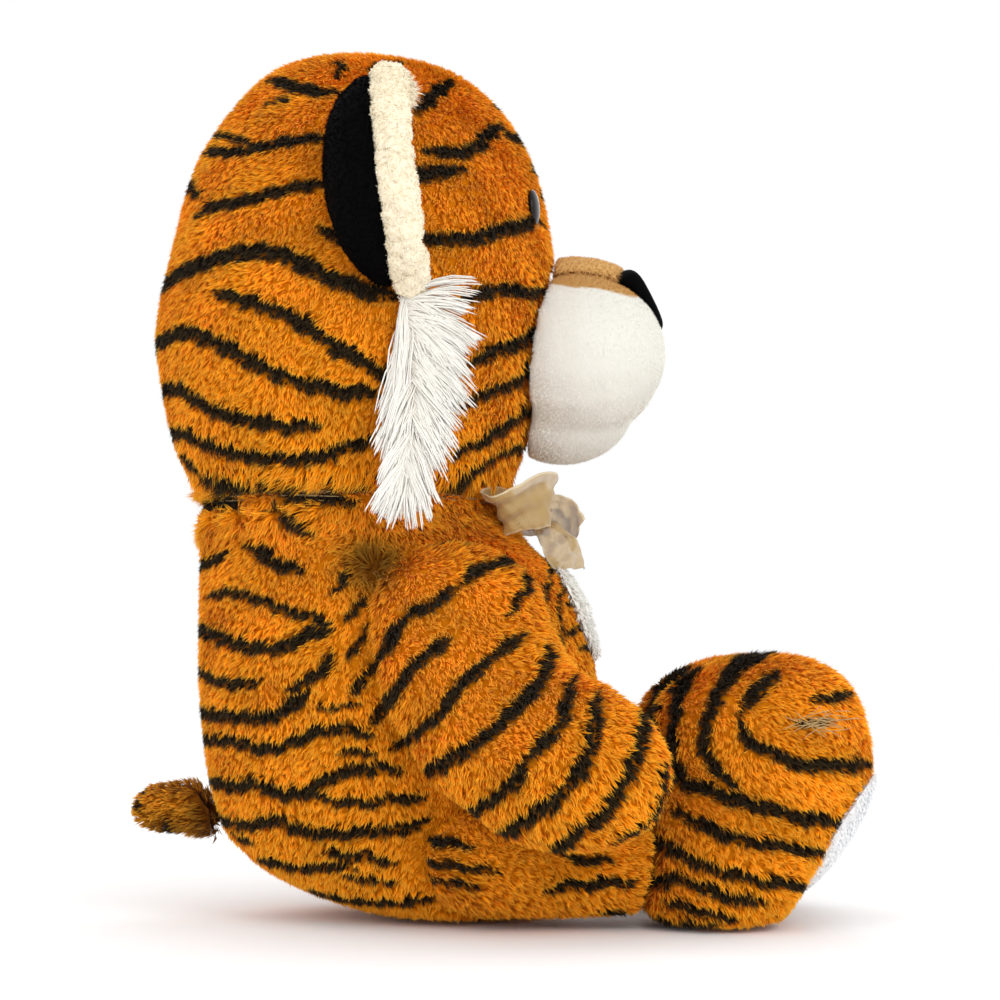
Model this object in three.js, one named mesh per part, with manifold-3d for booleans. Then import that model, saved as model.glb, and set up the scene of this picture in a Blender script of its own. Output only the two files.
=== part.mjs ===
// A seated plush tiger: stuffed head, body, limbs and tail, each a sewn cover over its own filling.
// Millimetres, +Z up. The tiger looks along -Y and sits on the plane Z = 0, symmetric about X = 0.

import * as THREE from 'three';
import Module from 'manifold-3d';
import { mergeVertices } from 'three/addons/utils/BufferGeometryUtils.js';

const wasm = await Module();
wasm.setup();

// Driving dimensions of the whole toy
const neckHeight = 291.5; // floor to the neck seam
const neckRadius = 108; // the neck seam is a circle
const neckAxisY = 104; // the neck's upright axis lies this far behind the drawing's origin
const headHeight = 318.5; // neck seam to crown
const headFrontReach = 143.6; // neck axis to the face
const headBackReach = 142.8; // neck axis to the back of the head
const headHalfWidth = 150;
const bodyFrontReach = 175; // neck axis to the belly
const bodyBackReach = 110; // neck axis to the back
const bodyHalfWidth = 129;

// Cloth and clearances
const coverWall = 9; // fur fabric: woven backing and its pile
const velourWall = 5; // short-pile fabric of the muzzle and ears
const fillingGap = 0.8; // filling to the inside of its cover
const seamGap = 0.4; // between two covers that are sewn or lie together
const flatDepth = 0.5; // how far the weight presses each resting cover flat
const overrun = 20; // how far a cut runs past what it cuts
const farReach = 900; // larger than the toy, for the boxes that trim by a plane

// How finely the soft forms are divided
const fineSides = 20;
const coarseSides = 12;
const limbSides = 14;
const limbCoarseSides = 8;
const sweepSteps = 4; // copies of a neighbour cleared along a joint's travel

// Joint travels in degrees
const legLift = 15;
const armSpread = 22;
const earBend = 10;
const tailRise = 20;
const tailDrop = 10;

const finishes = {
  tigerPlush: { color: 0xd0760e, roughness: 0.95, metalness: 0 },
  whitePlush: { color: 0xe6e2d5, roughness: 0.95, metalness: 0 },
  blackVelour: { color: 0x0b0b0c, roughness: 0.9, metalness: 0 },
  tanVelour: { color: 0xb48649, roughness: 0.9, metalness: 0 },
  creamChenille: { color: 0xf0e1c3, roughness: 1, metalness: 0 },
  whiteYarn: { color: 0xe4e2df, roughness: 0.7, metalness: 0 },
  goldRibbon: { color: 0xb0905b, roughness: 0.45, metalness: 0 },
  eyePlastic: { color: 0x1a120c, roughness: 0.12, metalness: 0 },
  washerPlastic: { color: 0xe8e8e4, roughness: 0.5, metalness: 0 },
  fibreFill: { color: 0xf4f4f0, roughness: 1, metalness: 0 },
  pelletBag: { color: 0xd8d2c4, roughness: 0.9, metalness: 0 },
};

// Geometry helpers

const radians = THREE.MathUtils.degToRad;

function solidFrom(geometry) {
  const bare = geometry.clone();
  bare.deleteAttribute('normal');
  bare.deleteAttribute('uv');
  const merged = mergeVertices(bare);
  const vertProperties = new Float32Array(merged.attributes.position.array);
  const triVerts = new Uint32Array(merged.index.array);
  return new wasm.Manifold(new wasm.Mesh({ numProp: 3, vertProperties, triVerts }));
}

// The main body of a cut piece, without the slivers that a cut can leave
function largestPart(solid) {
  const parts = solid.decompose();
  return parts.reduce((best, part) => (part.volume() > best.volume() ? part : best));
}

function geometryFrom(solid) {
  const mesh = largestPart(solid).getMesh();
  const geometry = new THREE.BufferGeometry();
  geometry.setAttribute('position', new THREE.BufferAttribute(mesh.vertProperties, 3));
  geometry.setIndex(new THREE.BufferAttribute(mesh.triVerts, 1));
  geometry.computeVertexNormals();
  return geometry;
}

// The same shape on the toy's other side, with its faces turned to point outwards again
function mirrored(geometry) {
  const other = geometry.clone();
  other.scale(-1, 1, 1);
  const index = other.index.array;
  for (let k = 0; k < index.length; k += 3) {
    const kept = index[k + 1];
    index[k + 1] = index[k + 2];
    index[k + 2] = kept;
  }
  other.computeVertexNormals();
  return other;
}

// Faces between two rings; the quads on the two sides of X = 0 are split as mirror images
function joinRings(lower, upper, faces) {
  const count = Math.max(lower.length, upper.length);
  for (let k = 0; k < count; k += 1) {
    const next = (k + 1) % count;
    if (lower.length === 1) {
      faces.push(lower[0], upper[next], upper[k]);
    } else if (upper.length === 1) {
      faces.push(lower[k], lower[next], upper[0]);
    } else if (4 * k >= count && 4 * k < 3 * count) {
      faces.push(lower[k], lower[next], upper[next]);
      faces.push(lower[k], upper[next], upper[k]);
    } else {
      faces.push(lower[k], lower[next], upper[k]);
      faces.push(lower[next], upper[next], upper[k]);
    }
  }
}

// A closed skin over rings of points that run anticlockwise round the direction of travel.
// A ring of one point is a pole, and an open end is closed flat.
function skinOver(rings) {
  const points = rings.flat();
  let counted = 0;
  const numbered = rings.map((ring) => ring.map(() => counted++));
  const faces = [];
  for (let k = 0; k + 1 < numbered.length; k += 1) {
    joinRings(numbered[k], numbered[k + 1], faces);
  }
  const first = numbered[0];
  const last = numbered[numbered.length - 1];
  for (let k = 1; k + 1 < first.length; k += 1) {
    faces.push(first[0], first[k + 1], first[k]);
  }
  for (let k = 1; k + 1 < last.length; k += 1) {
    faces.push(last[0], last[k], last[k + 1]);
  }
  const geometry = new THREE.BufferGeometry().setFromPoints(points);
  geometry.setIndex(faces);
  return geometry;
}

// Reads a table of shares along its first column as a smooth curve; t runs from 0 to 1 over the table
function smoothRow(shareTable, t) {
  const columns = shareTable[0].length;
  const row = [];
  for (let column = 1; column < columns; column += 1) {
    const curve = new THREE.SplineCurve(shareTable.map((r) => new THREE.Vector2(r[0], r[column])));
    const point = curve.getPoint(t);
    row[0] = point.x;
    row.push(point.y);
  }
  return row;
}

function ovalRing(halfWidth, frontY, backY, z, sides) {
  const ring = [];
  for (let k = 0; k < sides; k += 1) {
    const angle = (2 * Math.PI * k) / sides;
    const x = halfWidth * Math.cos(angle);
    const y = (frontY + backY) / 2 + ((backY - frontY) / 2) * Math.sin(angle);
    ring.push(new THREE.Vector3(x, y, z));
  }
  return ring;
}

// An upright stuffed form from a table of [height, front, back, width] shares
function uprightForm(form, inset, sides, rings) {
  const skin = [];
  for (let k = 0; k <= rings; k += 1) {
    const [h, front, back, width] = smoothRow(form.shareTable, k / rings);
    const z = form.bottom + inset * form.bottomInset + h * (form.height - inset);
    const frontY = form.axisY - form.frontReach * front + inset;
    const backY = form.axisY + form.backReach * back - inset;
    const halfWidth = form.halfWidth * width - inset;
    if (halfWidth > fillingGap && backY - frontY > fillingGap) {
      skin.push(ovalRing(halfWidth, frontY, backY, z, sides));
    } else if (k === rings || k === 0) {
      skin.push([new THREE.Vector3(0, (frontY + backY) / 2, z)]);
    }
  }
  return skin;
}

// The place along a limb's spine and how full the limb is there, with both ends rounded
function limbStation(limb, t) {
  const along = (1 - Math.cos(Math.PI * t)) / 2;
  const centre = limb.spine.getPoint(along);
  const forward = limb.spine.getTangent(along);
  const fromStart = Math.min(1, along / limb.startRoundShare);
  const fromEnd = Math.min(1, (1 - along) / limb.endRoundShare);
  const startFullness = Math.sqrt(1 - (1 - fromStart) ** 2);
  const endFullness = Math.sqrt(1 - (1 - fromEnd) ** 2);
  return { along, centre, forward, fullness: startFullness * endFullness };
}

// A stuffed limb: oval rings along its spine, wide across X and deep in the plane of the spine
function limbForm(limb, inset, sides, rings) {
  const skin = [];
  for (let k = 0; k <= rings; k += 1) {
    const { along, centre, forward, fullness } = limbStation(limb, k / rings);
    const [, depthShare, widthShare] = smoothRow(limb.swellShares, along);
    const halfDepth = (limb.halfDepth * depthShare - inset) * fullness;
    const halfWidth = (limb.halfWidth * widthShare - inset) * fullness;
    const across = new THREE.Vector3(1, 0, 0);
    across.addScaledVector(forward, -across.dot(forward)).normalize();
    const deep = new THREE.Vector3().crossVectors(forward, across);
    const pushIn = inset * (1 - fullness) * (along < 1 / 2 ? 1 : -1);
    const middle = centre.clone().addScaledVector(forward, pushIn);
    if (k === 0 || k === rings) {
      skin.push([middle]);
    } else {
      skin.push(limbRing(middle, across, deep, halfWidth, halfDepth, sides));
    }
  }
  return skinOver(skin);
}

function limbRing(middle, across, deep, halfWidth, halfDepth, sides) {
  const ring = [];
  for (let k = 0; k < sides; k += 1) {
    const angle = (2 * Math.PI * k) / sides;
    const point = middle.clone();
    point.addScaledVector(across, halfWidth * Math.cos(angle));
    point.addScaledVector(deep, halfDepth * Math.sin(angle));
    ring.push(point);
  }
  return ring;
}

function ellipsoid(centre, radii, around, rows) {
  const geometry = new THREE.SphereGeometry(1, around, rows);
  geometry.scale(radii.x, radii.y, radii.z);
  geometry.translate(centre.x, centre.y, centre.z);
  return geometry;
}

// The half of space on the far side of a plane, as a large box
function beyondPlane(point, normal) {
  const box = new THREE.BoxGeometry(farReach, farReach, farReach);
  box.translate(0, 0, farReach / 2);
  const turn = new THREE.Quaternion().setFromUnitVectors(new THREE.Vector3(0, 0, 1), normal);
  box.applyQuaternion(turn);
  box.translate(point.x, point.y, point.z);
  return solidFrom(box);
}

const floorPoint = new THREE.Vector3(0, 0, 0);
const downwards = new THREE.Vector3(0, 0, -1);
const underFloor = beyondPlane(floorPoint, downwards);

function rotatedAbout(geometry, hinge, degrees) {
  const copy = geometry.clone();
  copy.translate(-hinge.point.x, -hinge.point.y, -hinge.point.z);
  copy.applyQuaternion(new THREE.Quaternion().setFromAxisAngle(hinge.axis, radians(degrees)));
  copy.translate(hinge.point.x, hinge.point.y, hinge.point.z);
  return copy;
}

// All the room that a still neighbour takes up, as seen from a piece that turns on a hinge
function roomTakenBy(geometry, hinge) {
  let room = solidFrom(geometry);
  for (let k = 0; k <= sweepSteps; k += 1) {
    const turn = THREE.MathUtils.lerp(hinge.from, hinge.to, k / sweepSteps);
    if (turn !== 0) {
      room = room.add(solidFrom(rotatedAbout(geometry, hinge, -turn)));
    }
  }
  return room;
}

// Head form: height, front, back and width along the head, from the neck seam to the crown
const headShares = [
  [0, 0.752, 0.756, 0.72],
  [0.055, 0.815, 0.85, 0.81],
  [0.143, 0.885, 0.924, 0.91],
  [0.275, 0.951, 0.977, 0.99],
  [0.363, 0.98, 1, 1],
  [0.538, 1, 0.921, 0.97],
  [0.714, 0.922, 0.824, 0.87],
  [0.802, 0.834, 0.714, 0.77],
  [0.89, 0.687, 0.578, 0.6],
  [0.962, 0.437, 0.387, 0.36],
  [1, -0.042, 0.042, 0],
];
const head = {
  shareTable: headShares,
  bottom: neckHeight + seamGap / 2,
  bottomInset: 0,
  height: headHeight,
  axisY: neckAxisY,
  frontReach: headFrontReach,
  backReach: headBackReach,
  halfWidth: headHalfWidth,
};
const headRings = 16;
const headCoarseRings = 9;

function headForm(inset, sides, rings) {
  const skin = uprightForm(head, inset, sides, rings);
  if (inset > 0) {
    skin.unshift(skin[0].map((p) => p.clone().setZ(p.z - overrun)));
  }
  return skinOver(skin);
}

// Where the face's surface lies at a place seen from the front
function faceY(x, z) {
  const wanted = (z - head.bottom) / head.height;
  let t = 0;
  while (t < 1 && smoothRow(headShares, t)[0] < wanted) {
    t += 1 / farReach;
  }
  const [, front, back, width] = smoothRow(headShares, t);
  const frontY = head.axisY - head.frontReach * front;
  const backY = head.axisY + head.backReach * back;
  const across = x / (head.halfWidth * width);
  return (frontY + backY) / 2 - ((backY - frontY) / 2) * Math.sqrt(1 - across * across);
}

// Body form: the pear of the trunk, from the seat to the neck seam, with a short upright collar
const bodyShares = [
  [0, 0.708, -0.373, 0.46],
  [0.022, 0.789, 0.009, 0.6],
  [0.057, 0.834, 0.264, 0.7],
  [0.104, 0.88, 0.545, 0.78],
  [0.197, 0.937, 0.827, 0.85],
  [0.354, 0.994, 0.945, 0.93],
  [0.515, 1, 0.991, 0.99],
  [0.628, 0.989, 1, 1],
  [0.738, 0.948, 1, 0.97],
  [0.824, 0.857, 1, 0.92],
  [0.885, 0.731, 0.991, 0.87],
  [0.933, 0.6172, 0.9819, 0.8373],
  [1, 0.6172, 0.9819, 0.8373],
];
const body = {
  shareTable: bodyShares,
  bottom: -flatDepth,
  bottomInset: 1,
  height: neckHeight - seamGap / 2 + flatDepth,
  axisY: neckAxisY,
  frontReach: bodyFrontReach,
  backReach: bodyBackReach,
  halfWidth: bodyHalfWidth,
};
const bodyRings = 15;
const bodyCoarseRings = 9;

function bodyForm(inset, sides, rings) {
  const skin = uprightForm(body, inset, sides, rings);
  if (inset > 0) {
    skin.push(skin[skin.length - 1].map((p) => p.clone().setZ(p.z + overrun)));
  }
  return skinOver(skin);
}

const bodyToClear = bodyForm(-seamGap, fineSides, bodyRings);
const headToClear = headForm(-seamGap, fineSides, headRings);

// Right arm: hangs from the shoulder beside the body, its paw forward over the outside of the leg
const armLength = 250;
const armHalfDepth = 63;
const armHalfThickness = 44;
const shoulder = new THREE.Vector3(-112, 38, 206);
const armBendShares = [
  [0, 0, 0.2],
  [-0.02, -0.02, 0.02],
  [-0.1, -0.09, -0.19],
  [-0.2, -0.22, -0.34],
  [-0.25, -0.36, -0.39],
  [-0.26, -0.585, -0.44],
];
const arm = {
  spine: new THREE.CatmullRomCurve3(armBendShares.map((share) => (
    new THREE.Vector3(...share).multiplyScalar(armLength).add(shoulder)
  ))),
  startRoundShare: 0.2,
  endRoundShare: 0.24,
  halfDepth: armHalfDepth,
  halfWidth: armHalfThickness,
  swellShares: [
    [0, 0.97, 0.9],
    [0.3, 1, 1],
    [0.55, 0.94, 1],
    [1, 0.9, 0.98],
  ],
};
const armRings = 10;
const armCoarseRings = 6;
const shoulderHinge = {
  point: new THREE.Vector3(shoulder.x, shoulder.y, shoulder.z + armHalfDepth * 0.7),
  axis: new THREE.Vector3(0, 1, 0),
  from: 0,
  to: armSpread,
};

// Right leg: lies forward on the seat, with the hip crease over its rear end
const legLength = 178;
const legHalfDepth = 48;
const legHalfThickness = 45;
const legRise = 5.5; // the thigh lies this far off the floor
const hip = new THREE.Vector3(-84, 66, legHalfDepth + legRise);
const leg = {
  spine: new THREE.CatmullRomCurve3([
    hip,
    hip.clone().add(new THREE.Vector3(0, -legLength / 3, 0)),
    hip.clone().add(new THREE.Vector3(legThicknessShift(0.1), -(legLength * 2) / 3, -legThicknessShift(0.04))),
    hip.clone().add(new THREE.Vector3(legThicknessShift(0.25), -legLength, -legThicknessShift(0.08))),
  ]),
  startRoundShare: 0.28,
  endRoundShare: 0.12,
  halfDepth: legHalfDepth,
  halfWidth: legHalfThickness,
  swellShares: [
    [0, 1, 1],
    [0.5, 1, 0.98],
    [1, 0.9, 0.92],
  ],
};
const legRings = 9;
const legCoarseRings = 5;
const hipHinge = {
  point: new THREE.Vector3(hip.x, hip.y - legHalfDepth, hip.z + legHalfDepth * 0.94),
  axis: new THREE.Vector3(-1, 0, 0),
  from: 0,
  to: legLift,
};

function legThicknessShift(share) {
  return legHalfThickness * share;
}

// Right foot: a tall boot-like foot, leaning forward over a flat sole panel at its lower front
const footHeight = 185;
const footHalfWidth = 60;
const footX = -68;
const footRearReach = 60; // ahead of the heel's upright line to the instep
const footFrontReach = 112;
const footAxisY = -150;
const footShares = [
  [0, 0.68, 0.25, 0.62],
  [0.035, 0.9, 0.37, 0.77],
  [0.11, 1.06, 0.56, 0.9],
  [0.24, 1.12, 0.75, 0.98],
  [0.42, 1.08, 0.86, 1],
  [0.6, 1, 0.9, 1],
  [0.78, 0.88, 0.84, 0.92],
  [0.88, 0.62, 0.755, 0.78],
  [0.96, 0.18, 0.58, 0.48],
  [1, -0.5, 0.26, 0],
];
const footRings = 12;
const footCoarseRings = 8;
const soleLean = 33; // degrees that the sole panel faces downwards
const toeOut = 12; // degrees that the sole panel faces outwards
const soleCentreY = -227;
const soleCentreZ = 61;
const soleHalfWidth = 45;
const soleHalfLength = 47;
const soleCrown = 11;

function footForm(inset, sides, rings) {
  const skin = [];
  for (let k = 0; k <= rings; k += 1) {
    const [h, rear, front, width] = smoothRow(footShares, k / rings);
    const z = -flatDepth + inset + h * (footHeight + flatDepth - inset - inset);
    const rearY = footAxisY + footRearReach * rear - inset;
    const frontY = footAxisY - footFrontReach * front + inset;
    const halfWidth = footHalfWidth * width - inset;
    if (halfWidth > fillingGap && rearY - frontY > fillingGap) {
      const ring = ovalRing(halfWidth, frontY, rearY, z, sides);
      ring.forEach((p) => p.setX(p.x + footX));
      skin.push(ring);
    } else if (k === rings) {
      skin.push([new THREE.Vector3(footX, (frontY + rearY) / 2, z)]);
    }
  }
  return skinOver(skin);
}

const soleCentre = new THREE.Vector3(footX, soleCentreY, soleCentreZ);
const soleNormal = new THREE.Vector3(0, -Math.cos(radians(soleLean)), -Math.sin(radians(soleLean)));
soleNormal.applyAxisAngle(new THREE.Vector3(0, 0, 1), radians(-toeOut));

function alongSole(distance) {
  return soleCentre.clone().addScaledVector(soleNormal, distance);
}

// Tail: a short blunt stub low on the back
const tailLength = 82;
const tailRadius = 21.5;
const tailRoot = new THREE.Vector3(0, 178, 72);
const tail = {
  spine: new THREE.CatmullRomCurve3([
    tailRoot,
    tailRoot.clone().add(new THREE.Vector3(0, tailLength / 2, 0)),
    tailRoot.clone().add(new THREE.Vector3(0, tailLength, -tailRadius / 12)),
  ]),
  startRoundShare: 0.1,
  endRoundShare: 0.21,
  halfDepth: tailRadius,
  halfWidth: tailRadius,
  swellShares: [
    [0, 0.94, 0.94],
    [0.3, 1, 1],
    [0.65, 0.92, 0.94],
    [1, 0.85, 0.87],
  ],
};
const tailRings = 7;
const tailHinge = {
  point: new THREE.Vector3(0, neckAxisY + bodyBackReach * 0.86, tailRoot.z),
  axis: new THREE.Vector3(1, 0, 0),
  from: -tailDrop,
  to: tailRise,
};

// Muzzle: two white lobes over a small chin
const muzzleCentreZ = 390;
const muzzleHalfWidth = 74;
const muzzleHalfHeight = 58;
const muzzleTipY = -116;
const lobeSpread = 22;
const lobeReach = 64;
const chinDrop = 33;
const muzzleSides = 16;
const muzzleRows = 10;

function muzzleForm(inset, sides, rows) {
  const lobeRadii = new THREE.Vector3(muzzleHalfWidth - lobeSpread, lobeReach, muzzleHalfHeight);
  lobeRadii.subScalar(inset);
  const lobeY = muzzleTipY + lobeReach;
  const rightLobe = ellipsoid(new THREE.Vector3(-lobeSpread, lobeY, muzzleCentreZ), lobeRadii, sides, rows);
  const leftLobe = ellipsoid(new THREE.Vector3(lobeSpread, lobeY, muzzleCentreZ), lobeRadii, sides, rows);
  const chinRadii = new THREE.Vector3(muzzleHalfWidth * 0.6, lobeReach * 0.8, muzzleHalfHeight * 0.75);
  chinRadii.subScalar(inset);
  const chinCentre = new THREE.Vector3(0, lobeY + lobeReach * 0.13, muzzleCentreZ - chinDrop);
  const chin = ellipsoid(chinCentre, chinRadii, sides, rows);
  return solidFrom(rightLobe).add(solidFrom(leftLobe)).add(solidFrom(chin));
}

// Nose bridge and nose, on top of the muzzle
const bridgeHalfWidth = 31;
const bridgeHalfLength = 50;
const bridgeTopZ = 464;
const bridgeHalfHeight = 30;
const bridgeCentreY = -52;
const noseWidth = 52;
const noseHeight = 50;
const noseThickness = 15;
const noseBevel = 6;
const noseLean = 30; // degrees that the nose faces upwards
const noseFront = new THREE.Vector3(0, -105, 434);

function noseOutline() {
  const half = noseWidth / 2 - noseBevel;
  const top = noseHeight / 2 - noseBevel;
  const outline = new THREE.Shape();
  outline.moveTo(0, -top);
  outline.quadraticCurveTo(half * 0.8, -top * 0.7, half, top * 0.5);
  outline.quadraticCurveTo(half * 0.9, top, 0, top);
  outline.quadraticCurveTo(-half * 0.9, top, -half, top * 0.5);
  outline.quadraticCurveTo(-half * 0.8, -top * 0.7, 0, -top);
  return outline;
}

function noseForm() {
  const geometry = new THREE.ExtrudeGeometry(noseOutline(), {
    depth: noseThickness,
    bevelEnabled: true,
    bevelThickness: noseBevel,
    bevelSize: noseBevel,
    bevelSegments: 3,
    curveSegments: 4,
  });
  geometry.translate(0, 0, -noseThickness - noseBevel);
  geometry.rotateX(radians(90 - noseLean));
  geometry.translate(noseFront.x, noseFront.y, noseFront.z);
  return geometry;
}

// Safety eyes: a domed head on a shank, held inside the cover by a washer
const eyeRadius = 14;
const eyeDome = 8;
const eyeRim = 1.5;
const shankRadius = 3;
const shankLength = 17;
const washerRadius = 10;
const washerThickness = 2;
const washerDepth = coverWall + seamGap; // under the fur's surface
const eyeX = 47;
const eyeZ = 489;
const eyeSides = 12;
const eyeAim = new THREE.Vector3(-0.3, -1, 0.06).normalize();
const eyePoint = new THREE.Vector3(-eyeX, faceY(eyeX, eyeZ), eyeZ);

// Turns a shape made about +Y so that +Y points out of the face at the right eye
function setAtEye(geometry) {
  const turn = new THREE.Quaternion().setFromUnitVectors(new THREE.Vector3(0, 1, 0), eyeAim);
  geometry.applyQuaternion(turn);
  geometry.translate(eyePoint.x, eyePoint.y, eyePoint.z);
  return geometry;
}

function eyeForm(grow) {
  const profile = [new THREE.Vector2(0, -shankLength - grow)];
  profile.push(new THREE.Vector2(shankRadius + grow, -shankLength - grow));
  profile.push(new THREE.Vector2(shankRadius + grow, -grow));
  profile.push(new THREE.Vector2(eyeRadius + grow, -grow));
  const domeSteps = 4;
  for (let k = 0; k <= domeSteps; k += 1) {
    const angle = (Math.PI / 2) * (k / domeSteps);
    const r = (eyeRadius + grow) * Math.cos(angle);
    profile.push(new THREE.Vector2(k === domeSteps ? 0 : r, eyeRim + (eyeDome + grow) * Math.sin(angle)));
  }
  return setAtEye(new THREE.LatheGeometry(profile, eyeSides));
}

function washerForm(innerRadius, outerRadius, top, bottom) {
  const profile = [
    new THREE.Vector2(innerRadius, bottom),
    new THREE.Vector2(outerRadius, bottom),
    new THREE.Vector2(outerRadius, top),
    new THREE.Vector2(innerRadius, top),
    new THREE.Vector2(innerRadius, bottom),
  ];
  return setAtEye(new THREE.LatheGeometry(profile, eyeSides));
}

function plugForm(radius, top, bottom) {
  const profile = [
    new THREE.Vector2(0, bottom),
    new THREE.Vector2(radius, bottom),
    new THREE.Vector2(radius, top),
    new THREE.Vector2(0, top),
  ];
  return setAtEye(new THREE.LatheGeometry(profile, eyeSides));
}

// Ears: a cupped black back, a white lining and a thick cream roll round the rim
const earRadius = 66; // to the middle of the roll
const earRollRadius = 12;
const earCupDepth = 50;
const earSquareness = 0.8; // 1 for a round dish, less for a squarer one
const earCentre = new THREE.Vector3(-126, 66, 482);
const earTilt = 7; // degrees that the ear leans back at its top
const earSides = 20;
const earRoot = new THREE.Vector3(-138, 80, 482);
const earHinge = {
  point: earRoot,
  axis: new THREE.Vector3(headHalfWidth * 0.33, 0, headHalfWidth).normalize(),
  from: -earBend,
  to: earBend,
};

function placeEar(geometry) {
  geometry.rotateX(radians(-earTilt));
  geometry.translate(earCentre.x, earCentre.y, earCentre.z);
  return geometry;
}

// A point of a dish's profile, from the deepest place at share 0 to the rim at share 1
function dishPoint(rimRadius, depth, share) {
  const angle = (Math.PI / 2) * share;
  const out = share === 0 ? 0 : rimRadius * Math.sin(angle) ** earSquareness;
  const deep = share === 1 ? 0 : depth * Math.cos(angle) ** earSquareness;
  return new THREE.Vector2(out, deep);
}

// A dish open to the front, between two depths, out to a rim radius
function earDish(rimRadius, outerDepth, innerDepth) {
  const steps = 5;
  const profile = [];
  for (let k = 0; k <= steps; k += 1) {
    profile.push(dishPoint(rimRadius, outerDepth, k / steps));
  }
  const thickness = outerDepth - innerDepth;
  for (let k = steps; k >= 0; k -= 1) {
    profile.push(dishPoint(rimRadius - thickness, innerDepth, k / steps));
  }
  return placeEar(new THREE.LatheGeometry(profile.reverse(), earSides));
}

function earRoll(grow) {
  const rollSides = 8;
  const roll = new THREE.TorusGeometry(earRadius, earRollRadius + grow, rollSides, earSides);
  roll.rotateX(radians(90));
  return placeEar(roll);
}

// Cheek tufts: long white yarn, hanging in locks from under the ear
const tuftTopZ = 399;
const tuftLength = 122;
const tuftWidth = 62;
const tuftThickness = 13;
const tuftInnerX = -143;
const tuftCentreY = 44;
const tuftOutlineShares = [
  [0.1, 0, 0.5, -0.02],
  [0.85, 0.1, 0.95, 0.3],
  [0.78, 0.28, 0.9, 0.5],
  [0.72, 0.45, 0.8, 0.7],
  [0.6, 0.7, 0.55, 1],
  [0.42, 0.8, 0.35, 0.97],
  [0.2, 0.75, 0.02, 0.98],
  [-0.02, 0.7, 0.05, 0.5],
];

function tuftForm() {
  const outline = new THREE.Shape();
  const at = (u, v) => [tuftWidth * (u - 0.5), -tuftLength * v];
  outline.moveTo(...at(0.1, 0));
  tuftOutlineShares.forEach(([cu, cv, u, v]) => outline.quadraticCurveTo(...at(cu, cv), ...at(u, v)));
  outline.quadraticCurveTo(...at(0.02, 0.2), ...at(0.1, 0));
  const geometry = new THREE.ExtrudeGeometry(outline, {
    depth: tuftThickness,
    bevelEnabled: true,
    bevelThickness: tuftThickness / 6,
    bevelSize: tuftThickness / 6,
    bevelSegments: 1,
    curveSegments: 3,
  });
  geometry.rotateX(radians(90));
  geometry.rotateZ(radians(-90));
  geometry.translate(tuftInnerX, tuftCentreY, tuftTopZ);
  return geometry;
}

// Chest patch: white plush over the upper belly
const patchThickness = 2.5;
const patchHalfWidth = 44;
const patchHalfHeight = 36;
const patchCentreZ = 214;

// Ribbon: a band round the neck, tied in a bow under the chin
const ribbonThickness = 1;
const ribbonWidth = 38;
const bandHeight = 14; // the ribbon is drawn together in the crease of the neck
const bandClearance = 1;
const knotRadii = new THREE.Vector3(13, 12, 12);
const bandRadius = neckRadius + bandClearance;
const bandTopZ = neckHeight - 3;
const knotZ = bandTopZ - bandHeight / 2;
const knotY = neckAxisY - bandRadius - ribbonThickness - seamGap - knotRadii.y;
const loopReach = 58;
const loopOpening = 26;
const loopSweep = 6; // degrees that the loops lie back
const ribbonEndLength = 50;
const ribbonEndSlope = 28; // degrees off upright, as the chest slopes
const gatherShare = 0.45; // a loop's width at the knot

function knotForm(grow) {
  const centre = new THREE.Vector3(0, knotY, knotZ);
  return solidFrom(ellipsoid(centre, knotRadii.clone().addScalar(grow), coarseSides, coarseSides / 2));
}

// A ribbon folded into a teardrop loop, gathered at the knot and lying out from it towards -X
function loopForm() {
  const half = loopOpening / 2;
  const outline = new THREE.Shape();
  const hole = new THREE.Path();
  const draw = (path, inset) => {
    path.moveTo(-inset * 3, 0);
    path.bezierCurveTo(-loopReach * 0.4, half - inset, -loopReach * 0.9, half - inset, -loopReach + inset, 0);
    path.bezierCurveTo(-loopReach * 0.9, -half * 1.2 + inset, -loopReach * 0.4, -half + inset, -inset * 3, 0);
  };
  draw(outline, 0);
  draw(hole, ribbonThickness);
  outline.holes.push(hole);
  const geometry = new THREE.ExtrudeGeometry(outline, {
    depth: ribbonWidth, bevelEnabled: false, curveSegments: 8,
  });
  const places = geometry.attributes.position;
  for (let k = 0; k < places.count; k += 1) {
    const openness = THREE.MathUtils.lerp(gatherShare, 1, Math.abs(places.getX(k)) / loopReach);
    places.setZ(k, (places.getZ(k) - ribbonWidth / 2) * openness);
  }
  geometry.rotateZ(radians(-loopSweep));
  geometry.translate(-knotRadii.x * 0.7, knotY - half * 0.3, knotZ);
  return geometry;
}

// One end of the ribbon, hanging from the knot over the chest with a pointed end
function ribbonEndForm() {
  const outline = new THREE.Shape();
  outline.moveTo(-ribbonWidth * 0.1, 0);
  outline.lineTo(-ribbonWidth * 0.75, -ribbonEndLength);
  outline.lineTo(-ribbonWidth * 0.3, -ribbonEndLength * 0.82);
  outline.lineTo(-ribbonWidth * 0.05, -ribbonEndLength * 0.95);
  outline.lineTo(-seamGap, 0);
  const geometry = new THREE.ExtrudeGeometry(outline, { depth: ribbonThickness, bevelEnabled: false });
  geometry.rotateX(radians(90 - ribbonEndSlope));
  geometry.translate(0, knotY - knotRadii.y * 0.9, knotZ);
  return geometry;
}

// Assembly

const tiger = new THREE.Group();

function addPiece(name, geometry, finish) {
  const mesh = new THREE.Mesh(geometry, new THREE.MeshStandardMaterial(finish));
  mesh.name = name;
  tiger.add(mesh);
}

function addPair(name, geometry, finish) {
  addPiece(`right_${name}`, geometry, finish);
  addPiece(`left_${name}`, mirrored(geometry), finish);
}

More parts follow.
